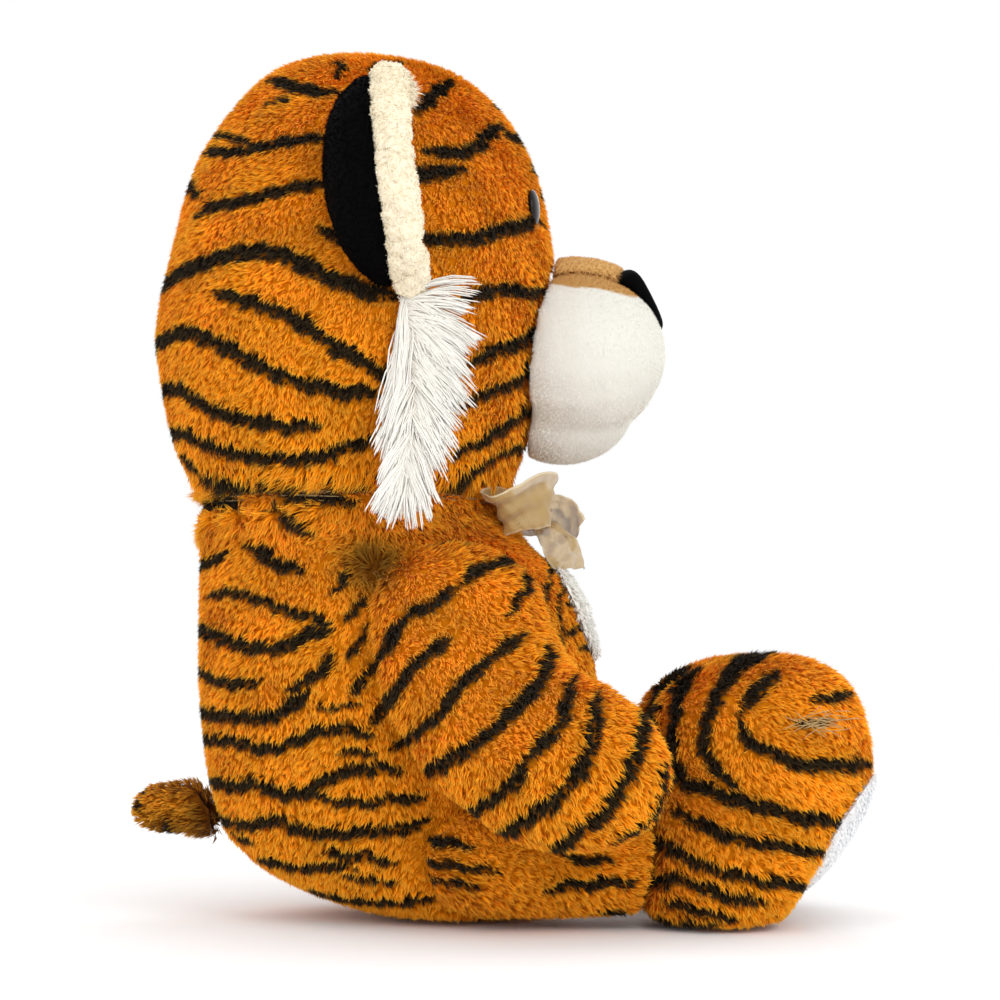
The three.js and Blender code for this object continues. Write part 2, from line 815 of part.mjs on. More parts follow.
function addHead() {
  const shell = solidFrom(headForm(0, fineSides, headRings));
  const hollow = solidFrom(headForm(coverWall, coarseSides, headCoarseRings));
  const washerSeat = plugForm(washerRadius + seamGap, -washerDepth + seamGap, -washerDepth - coverWall);
  const eyeRoom = solidFrom(eyeForm(seamGap));
  const eyeRoomLeft = solidFrom(mirrored(geometryFrom(eyeRoom)));
  const seatRoom = solidFrom(washerSeat);
  const seatRoomLeft = solidFrom(mirrored(geometryFrom(seatRoom)));
  const cuts = eyeRoom.add(eyeRoomLeft).add(seatRoom).add(seatRoomLeft);
  addPiece('head_cover', geometryFrom(shell.subtract(hollow).subtract(cuts)), finishes.tigerPlush);

  const filling = solidFrom(headForm(coverWall + fillingGap, coarseSides, headCoarseRings));
  const neckCut = beyondPlane(new THREE.Vector3(0, 0, head.bottom), downwards);
  const fillingRoom = solidFrom(plugForm(washerRadius + fillingGap, 0, -shankLength - fillingGap));
  const fillingRoomLeft = solidFrom(mirrored(geometryFrom(fillingRoom)));
  const trimmed = filling.subtract(neckCut).subtract(fillingRoom).subtract(fillingRoomLeft);
  addPiece('head_stuffing', geometryFrom(trimmed), finishes.fibreFill);
}

function addEyes() {
  addPair('eye', geometryFrom(solidFrom(eyeForm(0))), finishes.eyePlastic);
  const washer = washerForm(
    shankRadius + seamGap,
    washerRadius,
    -washerDepth,
    -washerDepth - washerThickness,
  );
  addPair('eye_washer', geometryFrom(solidFrom(washer)), finishes.washerPlastic);
}

function addMuzzle() {
  const clearHead = solidFrom(headToClear);
  const outer = muzzleForm(0, muzzleSides, muzzleRows);
  const hollow = muzzleForm(velourWall, coarseSides, muzzleRows / 2);
  addPiece('muzzle_cover', geometryFrom(outer.subtract(hollow).subtract(clearHead)), finishes.whitePlush);
  const filling = muzzleForm(velourWall + fillingGap, coarseSides, muzzleRows / 2);
  addPiece('muzzle_stuffing', geometryFrom(filling.subtract(clearHead)), finishes.fibreFill);

  const clearMuzzle = muzzleForm(-seamGap, muzzleSides, muzzleRows);
  const nose = solidFrom(noseForm()).subtract(clearMuzzle);
  addPiece('nose', geometryFrom(nose), finishes.blackVelour);

  const bridgeCentre = new THREE.Vector3(0, bridgeCentreY, bridgeTopZ - bridgeHalfHeight);
  const bridgeRadii = new THREE.Vector3(bridgeHalfWidth, bridgeHalfLength, bridgeHalfHeight);
  const bridge = solidFrom(ellipsoid(bridgeCentre, bridgeRadii, muzzleSides, muzzleRows));
  const noseRoom = noseForm();
  noseRoom.translate(0, seamGap, 0);
  const trimmed = bridge.subtract(clearMuzzle).subtract(clearHead).subtract(solidFrom(noseForm()));
  addPiece('nose_bridge', geometryFrom(trimmed.subtract(solidFrom(noseRoom))), finishes.tanVelour);
}

function addEars() {
  const headRoom = roomTakenBy(headToClear, earHinge);
  const backDepth = earCupDepth;
  const liningDepth = backDepth - velourWall - seamGap;
  const rollRoom = solidFrom(earRoll(seamGap));
  const back = solidFrom(earDish(earRadius + earRollRadius / 2, backDepth, backDepth - velourWall));
  const liningRim = earRadius + earRollRadius / 2 - velourWall - seamGap;
  const lining = solidFrom(earDish(liningRim, liningDepth, liningDepth - velourWall));
  addPair('ear_back', geometryFrom(back.subtract(rollRoom).subtract(headRoom)), finishes.blackVelour);
  addPair('ear_lining', geometryFrom(lining.subtract(rollRoom).subtract(headRoom)), finishes.whitePlush);
  const roll = solidFrom(earRoll(0)).subtract(headRoom);
  addPair('ear_binding', geometryFrom(roll), finishes.creamChenille);
}

function addCheekTufts() {
  const tuft = solidFrom(tuftForm()).subtract(solidFrom(headToClear));
  addPair('cheek_tuft', geometryFrom(tuft), finishes.whiteYarn);
}

function addBody() {
  const shell = solidFrom(bodyForm(0, fineSides, bodyRings)).subtract(underFloor);
  const hollow = solidFrom(bodyForm(coverWall, coarseSides, bodyCoarseRings));
  addPiece('body_cover', geometryFrom(shell.subtract(hollow)), finishes.tigerPlush);

  const filling = solidFrom(bodyForm(coverWall + fillingGap, coarseSides, bodyCoarseRings));
  const above = beyondPlane(new THREE.Vector3(0, 0, pelletTopZ), new THREE.Vector3(0, 0, 1));
  const below = beyondPlane(new THREE.Vector3(0, 0, pelletTopZ + seamGap), downwards);
  const neckTop = new THREE.Vector3(0, 0, body.bottom + body.height);
  const overNeck = beyondPlane(neckTop, new THREE.Vector3(0, 0, 1));
  addPiece('pellet_bag', geometryFrom(filling.subtract(above)), finishes.pelletBag);
  addPiece('body_stuffing', geometryFrom(filling.subtract(below).subtract(overNeck)), finishes.fibreFill);
}

const pelletTopZ = 62; // the bag of pellets that weights the seat reaches this high

function addChestPatch() {
  const outer = solidFrom(bodyForm(-seamGap - patchThickness, fineSides, bodyRings));
  const inner = solidFrom(bodyToClear);
  const oval = new THREE.CylinderGeometry(1, 1, farReach, coarseSides * 2);
  oval.translate(0, -farReach / 2, 0);
  oval.scale(patchHalfWidth, 1, patchHalfHeight);
  oval.translate(0, 0, patchCentreZ);
  const patch = outer.subtract(inner).intersect(solidFrom(oval));
  addPiece('chest_patch', geometryFrom(patch), finishes.whitePlush);
}

function addRibbon() {
  const band = new THREE.LatheGeometry([
    new THREE.Vector2(bandRadius, -bandHeight),
    new THREE.Vector2(bandRadius + ribbonThickness, -bandHeight),
    new THREE.Vector2(bandRadius + ribbonThickness, 0),
    new THREE.Vector2(bandRadius, 0),
    new THREE.Vector2(bandRadius, -bandHeight),
  ], fineSides + fineSides);
  band.rotateX(radians(90));
  band.translate(0, neckAxisY, bandTopZ);
  const bandRoom = solidFrom(band).subtract(solidFrom(bodyToClear));
  addPiece('neck_ribbon', geometryFrom(bandRoom), finishes.goldRibbon);

  const clearBody = solidFrom(bodyForm(-seamGap * 2 - patchThickness, fineSides, bodyRings));
  addPiece('bow_knot', geometryFrom(knotForm(0).subtract(clearBody)), finishes.goldRibbon);
  const bowRoom = clearBody.add(knotForm(seamGap));
  addPair('bow_loop', geometryFrom(solidFrom(loopForm()).subtract(bowRoom)), finishes.goldRibbon);
  addPair('bow_end', geometryFrom(solidFrom(ribbonEndForm()).subtract(bowRoom)), finishes.goldRibbon);
}

function addArms() {
  const bodyRoom = roomTakenBy(bodyToClear, shoulderHinge);
  const outer = solidFrom(limbForm(arm, 0, limbSides, armRings));
  const hollow = solidFrom(limbForm(arm, coverWall, limbCoarseSides, armCoarseRings));
  addPair('arm_cover', geometryFrom(outer.subtract(hollow).subtract(bodyRoom)), finishes.tigerPlush);
  const filling = solidFrom(limbForm(arm, coverWall + fillingGap, limbCoarseSides, armCoarseRings));
  addPair('arm_stuffing', geometryFrom(filling.subtract(bodyRoom)), finishes.fibreFill);
}

function addLegs() {
  const bodyRoom = roomTakenBy(bodyToClear, hipHinge);
  const footRoom = solidFrom(footForm(-seamGap, fineSides, footRings));
  const outer = solidFrom(limbForm(leg, 0, limbSides, legRings));
  const hollow = solidFrom(limbForm(leg, coverWall, limbCoarseSides, legCoarseRings));
  const cover = outer.subtract(hollow).subtract(bodyRoom).subtract(footRoom);
  addPair('leg_cover', geometryFrom(cover), finishes.tigerPlush);
  const filling = solidFrom(limbForm(leg, coverWall + fillingGap, limbCoarseSides, legCoarseRings));
  addPair('leg_stuffing', geometryFrom(filling.subtract(bodyRoom).subtract(footRoom)), finishes.fibreFill);
}

function addFeet() {
  const outer = solidFrom(footForm(0, fineSides, footRings));
  const hollow = solidFrom(footForm(coverWall, coarseSides, footCoarseRings));
  const filling = solidFrom(footForm(coverWall + fillingGap, coarseSides, footCoarseRings));
  const beyondSole = beyondPlane(alongSole(0), soleNormal);
  const insideSole = beyondPlane(alongSole(-coverWall), soleNormal);
  const insideFilling = beyondPlane(alongSole(-coverWall - fillingGap), soleNormal);
  const ankle = solidFrom(limbForm(leg, coverWall, limbCoarseSides, legCoarseRings));
  const shell = outer.subtract(beyondSole).subtract(underFloor);
  const cover = shell.subtract(hollow.subtract(insideSole)).subtract(ankle);
  addPair('foot_cover', geometryFrom(cover), finishes.tigerPlush);
  addPair('foot_stuffing', geometryFrom(filling.subtract(insideFilling)), finishes.fibreFill);
  addPair('sole', geometryFrom(solePad()), finishes.whitePlush);
}

// The white panel under the foot: a low crowned oval on the flat front face
function solePad() {
  const pad = ellipsoid(
    new THREE.Vector3(0, 0, 0),
    new THREE.Vector3(soleHalfWidth, soleHalfLength, soleCrown),
    fineSides,
    muzzleRows,
  );
  const turn = new THREE.Matrix4().lookAt(
    soleNormal,
    new THREE.Vector3(0, 0, 0),
    new THREE.Vector3(0, 0, 1),
  );
  pad.applyMatrix4(turn);
  const centre = alongSole(seamGap);
  pad.translate(centre.x, centre.y, centre.z);
  return solidFrom(pad).subtract(beyondPlane(centre, soleNormal.clone().negate())).subtract(underFloor);
}

function addTail() {
  const bodyRoom = roomTakenBy(bodyToClear, tailHinge);
  const outer = solidFrom(limbForm(tail, 0, limbSides, tailRings));
  const hollow = solidFrom(limbForm(tail, coverWall, limbCoarseSides, tailRings));
  addPiece('tail_cover', geometryFrom(outer.subtract(hollow).subtract(bodyRoom)), finishes.tigerPlush);
  const filling = solidFrom(limbForm(tail, coverWall + fillingGap, limbCoarseSides, tailRings));
  addPiece('tail_stuffing', geometryFrom(filling.subtract(bodyRoom)), finishes.fibreFill);
}

addHead();
addEyes();
addMuzzle();
addEars();
addCheekTufts();
addBody();
addChestPatch();
addRibbon();
addArms();
addLegs();
addFeet();
addTail();

// The origin lies under the middle of the toy
const extent = new THREE.Box3().setFromObject(tiger);
tiger.position.y = -(extent.min.y + extent.max.y) / 2;
tiger.updateMatrixWorld(true);

export default tiger;
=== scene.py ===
"""Looks of a seated plush tiger, built around its fixed frame.

Metres, +Z up. The tiger faces -Y and its right side, which the photograph shows, faces -X.
Each stuffed piece is a sewn skin under its own pile: locks of fine tapered strands in real mesh.
"""

import logging
import math
from collections.abc import Iterable
from dataclasses import dataclass, replace
from enum import Enum
from typing import ClassVar

import bpy
import numpy as np
from mathutils import Matrix, Vector
from mathutils.bvhtree import BVHTree
from mathutils.kdtree import KDTree


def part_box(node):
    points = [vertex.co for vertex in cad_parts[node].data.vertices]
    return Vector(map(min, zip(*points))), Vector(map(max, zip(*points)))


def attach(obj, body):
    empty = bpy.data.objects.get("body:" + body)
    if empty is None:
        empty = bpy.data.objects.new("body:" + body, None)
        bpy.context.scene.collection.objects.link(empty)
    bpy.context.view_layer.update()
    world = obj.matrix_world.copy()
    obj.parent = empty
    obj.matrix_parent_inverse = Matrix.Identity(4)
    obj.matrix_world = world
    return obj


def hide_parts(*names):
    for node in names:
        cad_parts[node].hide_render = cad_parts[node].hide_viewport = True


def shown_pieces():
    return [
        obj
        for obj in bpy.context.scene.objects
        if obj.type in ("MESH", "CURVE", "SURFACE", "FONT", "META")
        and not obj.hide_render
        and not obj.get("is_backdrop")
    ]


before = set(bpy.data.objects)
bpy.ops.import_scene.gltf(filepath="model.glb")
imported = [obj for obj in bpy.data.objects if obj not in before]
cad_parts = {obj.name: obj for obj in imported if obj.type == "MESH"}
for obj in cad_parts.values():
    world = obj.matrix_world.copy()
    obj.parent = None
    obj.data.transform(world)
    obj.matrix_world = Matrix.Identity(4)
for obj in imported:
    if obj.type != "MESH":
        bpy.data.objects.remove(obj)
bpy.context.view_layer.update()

log = logging.getLogger("plush_tiger")

MM = 0.001
TINY = 1e-12
Colour = tuple[float, float, float]
Inputs = dict[str | int, object]


def srgb(red: int, green: int, blue: int) -> Colour:
    """Linear colour of an sRGB colour.

    Args:
        red: Red from 0 to 255.
        green: Green from 0 to 255.
        blue: Blue from 0 to 255.

    Returns:
        The three linear channels from 0 to 1.
    """
    return tuple(
        c / 12.92 if c <= 0.04045 else ((c + 0.055) / 1.055) ** 2.4
        for c in (red / 255, green / 255, blue / 255)
    )


class Side(Enum):
    """The tiger's own right or left; the value is the sign of X."""

    RIGHT = -1
    LEFT = 1

    @property
    def word(self) -> str:
        """The side as it stands in node names."""
        return self.name.lower()


class Plane(Enum):
    """The pair of axes in which a stripe is drawn."""

    SIDE = (1, 2)
    FRONT = (0, 2)


# Finishes


class Look:
    """The nodes of one material or world, with short ways to add and set them.

    Attributes:
        nodes: The tree's nodes.
        links: The tree's links.
    """

    RAMP_MIDDLE = 0.55

    def __init__(self, owner: bpy.types.Material | bpy.types.World) -> None:
        """Opens the owner's node tree.

        Args:
            owner: The material or world.
        """
        owner.use_nodes = True
        self.nodes = owner.node_tree.nodes
        self.links = owner.node_tree.links

    def add(self, kind: str, values: Inputs | None = None, **settings: object) -> bpy.types.Node:
        """Adds a node.

        Args:
            kind: The node's type.
            values: Values of its inputs, by name or number.
            settings: Its other settings, by name.

        Returns:
            The new node.
        """
        node = self.nodes.new(kind)
        for word, setting in settings.items():
            setattr(node, word, setting)
        return self.change(node, values or {})

    def change(self, node: bpy.types.Node, values: Inputs) -> bpy.types.Node:
        """Sets inputs of a node, by name or number, and gives the node back.

        Args:
            node: The node.
            values: The values by the inputs' names or numbers.

        Returns:
            The same node.
        """
        for key, value in values.items():
            node.inputs[key].default_value = value
        return node

    def shader(self, values: Inputs) -> bpy.types.Node:
        """The principled shader that a new material brings, with inputs set."""
        return self.change(self.nodes["Principled BSDF"], values)

    def ramp(self, first: Colour, last: Colour, middle: Colour | None = None) -> bpy.types.Node:
        """A colour ramp, with a middle colour where one is given.

        Args:
            first: Colour at its start.
            last: Colour at its end.
            middle: Colour a little past its middle.

        Returns:
            The ramp's node.
        """
        ramp = self.nodes.new("ShaderNodeValToRGB")
        steps = ramp.color_ramp.elements
        steps[0].color = (*first, 1)
        steps[1].color = (*last, 1)
        if middle is not None:
            steps.new(self.RAMP_MIDDLE).color = (*middle, 1)
        return ramp

    def link(self, source: bpy.types.NodeSocket, *targets: bpy.types.NodeSocket) -> None:
        """Links one output to one or more inputs."""
        for target in targets:
            self.links.new(source, target)


@dataclass(frozen=True)
class Finish:
    """What every finish has: a name, and one material that is made when it is first asked for.

    Attributes:
        name: Name of the finish.
    """

    name: str

    def material(self) -> bpy.types.Material:
        """The finish as a material.

        Returns:
            The material, the same one each time.
        """
        label = self.name + "_look"
        made = bpy.data.materials.get(label)
        if made is None:
            made = bpy.data.materials.new(label)
            self.dress(Look(made))
        return made

    def dress(self, look: Look) -> None:
        """Sets the material's nodes, in each kind of finish by its own way."""
        raise NotImplementedError


@dataclass(frozen=True)
class PileFinish(Finish):
    """Colours of a pile from its roots to its tips, plain and striped.

    Attributes:
        root: Colour deep in the pile, darker than the body as painted shade of the pile's depth.
        body: Colour along the strands.
        tip: Colour of the strand ends, lighter than the body as painted highlight.
        stripe_root: Colour deep in a dark stripe, darker as painted shade of the pile's depth.
        stripe_tip: Colour of the strand ends in a dark stripe, lighter as painted highlight.
        roughness: Roughness of the fibres.
        sheen: Weight of the soft rim light on the fibres.
        tone: How far locks differ in brightness.
        glint: How strongly the fibres shine.
        through: Share of light that passes through the fibres.
    """

    root: Colour
    body: Colour
    tip: Colour
    stripe_root: Colour = (0.0, 0.0, 0.0)
    stripe_tip: Colour = (0.0, 0.0, 0.0)
    roughness: float = 0.75
    sheen: float = 0.05
    tone: float = 0.2
    glint: float = 0.1
    through: float = 0.25

    def dress(self, look: Look) -> None:
        """Sets nodes that read the pile's own attributes.

        Args:
            look: The material's nodes.
        """
        shader = look.shader({
            "Roughness": self.roughness,
            "Specular IOR Level": self.glint,
            "Sheen Weight": self.sheen,
            "Sheen Roughness": 0.5,
        })
        along, stripe, tone = (
            look.add("ShaderNodeAttribute", attribute_name=word).outputs["Fac"] for word in PILE_VALUES
        )
        # Along each fibre the colour runs from painted shade deep in the pile to a painted highlight at its
        # tip.
        plain = look.ramp(self.root, self.tip, self.body)
        dark = look.ramp(self.stripe_root, self.stripe_tip, self.stripe_root)
        look.link(along, plain.inputs["Fac"], dark.inputs["Fac"])
        mix = look.add("ShaderNodeMix", data_type="RGBA")
        look.link(stripe, mix.inputs["Factor"])
        look.link(plain.outputs["Color"], mix.inputs["A"])
        look.link(dark.outputs["Color"], mix.inputs["B"])
        swing = look.add("ShaderNodeMapRange", {
            "From Min": -1,
            "To Min": 1 - self.tone,
            "To Max": 1 + self.tone,
        })
        look.link(tone, swing.inputs["Value"])
        value = look.add("ShaderNodeHueSaturation")
        look.link(swing.outputs["Result"], value.inputs["Value"])
        look.link(mix.outputs["Result"], value.inputs["Color"])
        glow = look.add("ShaderNodeBsdfTranslucent")
        look.link(value.outputs["Color"], shader.inputs["Base Color"], glow.inputs["Color"])
        blend = look.add("ShaderNodeMixShader", {"Fac": self.through})
        look.link(shader.outputs["BSDF"], blend.inputs[1])
        look.link(glow.outputs["BSDF"], blend.inputs[2])
        look.link(blend.outputs["Shader"], look.nodes["Material Output"].inputs["Surface"])


@dataclass(frozen=True)
class PlainFinish(Finish):
    """One colour that hardly varies, as on the eyes and the thread.

    Attributes:
        colour: Base colour.
        roughness: Surface roughness.
        coat: Weight of the clear coat.
        glint: How strongly it shines under the coat.
        swing: How far the colour varies in brightness from place to place.
        mottle: How fine the places are.
    """

    colour: Colour
    roughness: float = 0.6
    coat: float = 0.0
    glint: float = 0.5
    swing: float = 0.15
    mottle: float = 160

    def dress(self, look: Look) -> None:
        """Sets nodes that mottle the colour a little.

        Args:
            look: The material's nodes.
        """
        shader = look.shader({
            "Roughness": self.roughness,
            "Coat Weight": self.coat,
            "Specular IOR Level": self.glint,
        })
        noise = look.add("ShaderNodeTexNoise", {"Scale": self.mottle})
        look.link(look.add("ShaderNodeTexCoord").outputs["Object"], noise.inputs["Vector"])
        darker, lighter = (
            tuple(min(1.0, part * share) for part in self.colour)
            for share in (1 - self.swing, 1 + self.swing)
        )
        ramp = look.ramp(darker, lighter)
        look.link(noise.outputs["Fac"], ramp.inputs["Fac"])
        look.link(ramp.outputs["Color"], shader.inputs["Base Color"])


@dataclass(frozen=True)
class SheerFinish(Finish):
    """Thin woven ribbon with denser, paler edges.

    Attributes:
        colour: Colour of the weave.
        edge_colour: Colour of the woven edges.
        opacity: Share of light that one face of the weave stops.
        edge: Where the woven edge begins and is whole, as shares of the width from the middle line.
        edge_opacity: Share of light that the edge stops.
        threads: How fine the weave is.
    """

    colour: Colour
    edge_colour: Colour
    opacity: float
    edge: tuple[float, float] = (0.455, 0.475)
    edge_opacity: float = 0.8
    threads: float = 700

    def dress(self, look: Look) -> None:
        """Sets nodes that read how near a place is to the ribbon's edge.

        Args:
            look: The material's nodes.
        """
        shader = look.shader({"Roughness": 0.4, "Sheen Weight": 0.35})
        edge = self.nearness_to_edge(look)
        colour = look.add(
            "ShaderNodeMix", {"A": (*self.colour, 1), "B": (*self.edge_colour, 1)}, data_type="RGBA"
        )
        look.link(edge, colour.inputs["Factor"])
        look.link(colour.outputs["Result"], shader.inputs["Base Color"])
        weave = look.add("ShaderNodeTexWave", {"Scale": self.threads, "Distortion": 1.5})
        look.link(look.add("ShaderNodeTexCoord").outputs["Object"], weave.inputs["Vector"])
        thin = look.add("ShaderNodeMapRange", {
            "To Min": self.opacity * 0.8,
            "To Max": min(1.0, self.opacity * 1.2),
        })
        look.link(weave.outputs["Fac"], thin.inputs["Value"])
        dense = look.add("ShaderNodeMath", operation="MAXIMUM")
        look.link(thin.outputs["Result"], dense.inputs[0])
        look.link(edge, dense.inputs[1])
        look.link(dense.outputs[0], shader.inputs["Alpha"])

    def nearness_to_edge(self, look: Look) -> bpy.types.NodeSocket:
        """A value that rises at the ribbon's two edges, from its distance to the middle line.

        Args:
            look: The material's nodes.

        Returns:
            The output that holds the value.
        """
        place = look.add("ShaderNodeSeparateXYZ")
        look.link(look.add("ShaderNodeUVMap").outputs["UV"], place.inputs["Vector"])
        less = look.add("ShaderNodeMath", {1: 0.5}, operation="SUBTRACT")
        look.link(place.outputs["Y"], less.inputs[0])
        size = look.add("ShaderNodeMath", operation="ABSOLUTE")
        look.link(less.outputs[0], size.inputs[0])
        begin, whole = self.edge
        rise = look.add("ShaderNodeMapRange", {
            "From Min": begin,
            "From Max": whole,
            "To Max": self.edge_opacity,
        })
        look.link(size.outputs[0], rise.inputs["Value"])
        return rise.outputs["Result"]


class Finishes:
    """All the finishes of this toy."""

    # In every pile the root colour is darkened as painted shade of the pile's depth, and the tip colour is
    # lightened as painted highlight.
    TIGER = PileFinish(
        "tiger_plush",
        root=srgb(182, 98, 4),
        body=srgb(244, 150, 6),
        tip=srgb(255, 198, 62),
        stripe_root=srgb(28, 20, 10),
        stripe_tip=srgb(76, 62, 38),
        tone=0.24,
        glint=0.06,
    )
    WHITE = PileFinish(
        "white_plush", root=srgb(238, 236, 228), body=srgb(248, 247, 242), tip=srgb(253, 253, 250), tone=0.03
    )
    MUZZLE = PileFinish(
        "muzzle_plush", root=srgb(234, 232, 223), body=srgb(244, 243, 236), tip=srgb(250, 250, 245),
        stripe_root=srgb(208, 162, 97), stripe_tip=srgb(238, 196, 128), tone=0.03, through=0.3,
    )
    SOLE = PileFinish(
        "sole_plush", root=srgb(228, 228, 228), body=srgb(246, 247, 248), tip=srgb(252, 253, 254), tone=0.03
    )
    BLACK = PileFinish(
        "black_velour", root=srgb(2, 2, 2), body=srgb(4, 4, 5), tip=srgb(9, 9, 11), tone=0.3,
        sheen=0.0, glint=0.05,
    )
    TAN = PileFinish(
        "tan_velour", root=srgb(200, 154, 90), body=srgb(224, 180, 113), tip=srgb(236, 194, 128), tone=0.08,
        through=0.2,
    )
    CREAM = PileFinish(
        "cream_chenille", root=srgb(234, 220, 192), body=srgb(247, 237, 214), tip=srgb(251, 244, 227),
        tone=0.06, through=0.1,
    )
    YARN = PileFinish(
        "white_yarn", root=srgb(244, 239, 229), body=srgb(252, 249, 242), tip=srgb(254, 252, 247), tone=0.03,
        roughness=0.6, through=0.12,
    )
    TAIL = replace(TIGER, name="tail_plush", root=srgb(92, 46, 6), body=srgb(206, 122, 12), tone=0.5)
    THREAD = PlainFinish("tan_thread", srgb(188, 158, 104))
    WASHER = PlainFinish("washer_plastic", srgb(232, 232, 228), roughness=0.4)
    RIBBON = SheerFinish("gold_ribbon", srgb(188, 157, 98), srgb(224, 208, 170), opacity=0.6)
    KNOT = SheerFinish("gold_knot", srgb(178, 148, 93), srgb(212, 194, 154), opacity=0.9)
    EYE = PlainFinish("eye_plastic", srgb(14, 9, 7), roughness=0.15, coat=0.1, glint=0.2)


# Stripes


@dataclass(frozen=True)
class Stripe:
    """One dark stripe, drawn as a line of places in millimetres.

    Attributes:
        width: Full width of the stripe at its middle.
        line: The places that it runs through, in the pattern's plane.
        plane: The axes of those places.
        ahead_of: On a front stripe, the highest Y that it reaches back to.
        beyond: The least distance from the middle plane at which it is drawn.
    """

    width: float
    line: tuple[tuple[float, float], ...]
    plane: Plane = Plane.SIDE
    ahead_of: float = 1000.0
    beyond: float = 0.0


@dataclass(frozen=True)
class StripePattern:
    """The dark stripes of one piece of plush.

    Attributes:
        stripes: The stripes of the piece.
        waver: How far the edges waver, in millimetres.
        left_shift: How far the pattern of the left side differs, in millimetres.
        LEFT_FROM: Distance from the middle plane at which it differs in full.
        SOFT_EDGE: Half the width over which a stripe's edge fades.
        END_SHARE: Width of a stripe's two ends, as a share of its full width.
    """

    LEFT_FROM: ClassVar[float] = 45
    SOFT_EDGE: ClassVar[float] = 0.7
    END_SHARE: ClassVar[float] = 0.45

    stripes: tuple[Stripe, ...] = ()
    waver: float = 1.0
    left_shift: float = 7.0

    def darkness(self, places: np.ndarray) -> np.ndarray:
        """How dark the pattern is at each place.

        Args:
            places: An array of N places in metres.

        Returns:
            N values from 0 on plain plush to 1 in a stripe.
        """
        mm = places / MM
        x, y, z = mm.T
        left = np.clip(x / self.LEFT_FROM, 0, 1)
        # Short waves roughen the edges, and long ones move the stripes of the left side.
        y = y + self.waver * np.sin(z / 3.1 + x / 5.3) + left * self.left_shift * np.sin(z / 31 + 1.3)
        z = z + self.waver * np.sin(y / 3.7 + x / 4.9 + 2) + left * self.left_shift * np.sin(y / 38 + 0.4)
        drawn = {Plane.SIDE: np.stack([y, z], 1), Plane.FRONT: np.stack([np.abs(x), z], 1)}
        dark = np.zeros(len(mm))
        for stripe in self.stripes:
            points = drawn[stripe.plane]
            line = np.array(stripe.line, float)
            reach = stripe.width
            near = np.all((points > line.min(0) - reach) & (points < line.max(0) + reach), axis=1)
            near &= (mm[:, 1] < stripe.ahead_of) & (np.abs(x) >= stripe.beyond)
            rows = np.nonzero(near)[0]
            if len(rows):
                dark[rows] = np.maximum(dark[rows], self._of_one(points[rows], line, stripe.width))
        return dark

    @classmethod
    def _of_one(cls, points: np.ndarray, line: np.ndarray, width: float) -> np.ndarray:
        """Darkness of one stripe at points in its plane, thinner towards its two ends.

        Args:
            points: N points in the stripe's plane.
            line: The places that the stripe runs through.
            width: Its full width.

        Returns:
            N values from 0 to 1.
        """
        steps = np.linalg.norm(np.diff(line, axis=0), axis=1)
        starts = np.concatenate([[0], np.cumsum(steps)])
        best = np.full(len(points), np.inf)
        place = np.zeros(len(points))
        for k, step in enumerate(steps):
            along = (line[k + 1] - line[k]) / step
            t = np.clip((points - line[k]) @ along, 0, step)
            gap = np.linalg.norm(points - line[k] - t[:, None] * along, axis=1)
            closer = gap < best
            best[closer] = gap[closer]
            place[closer] = (starts[k] + t)[closer]
        end = np.minimum(place, starts[-1] - place)
        half = width / 2 * np.clip(cls.END_SHARE + end / (2 * width), cls.END_SHARE, 1)
        return np.clip((half + cls.SOFT_EDGE - best) / (2 * cls.SOFT_EDGE), 0, 1)


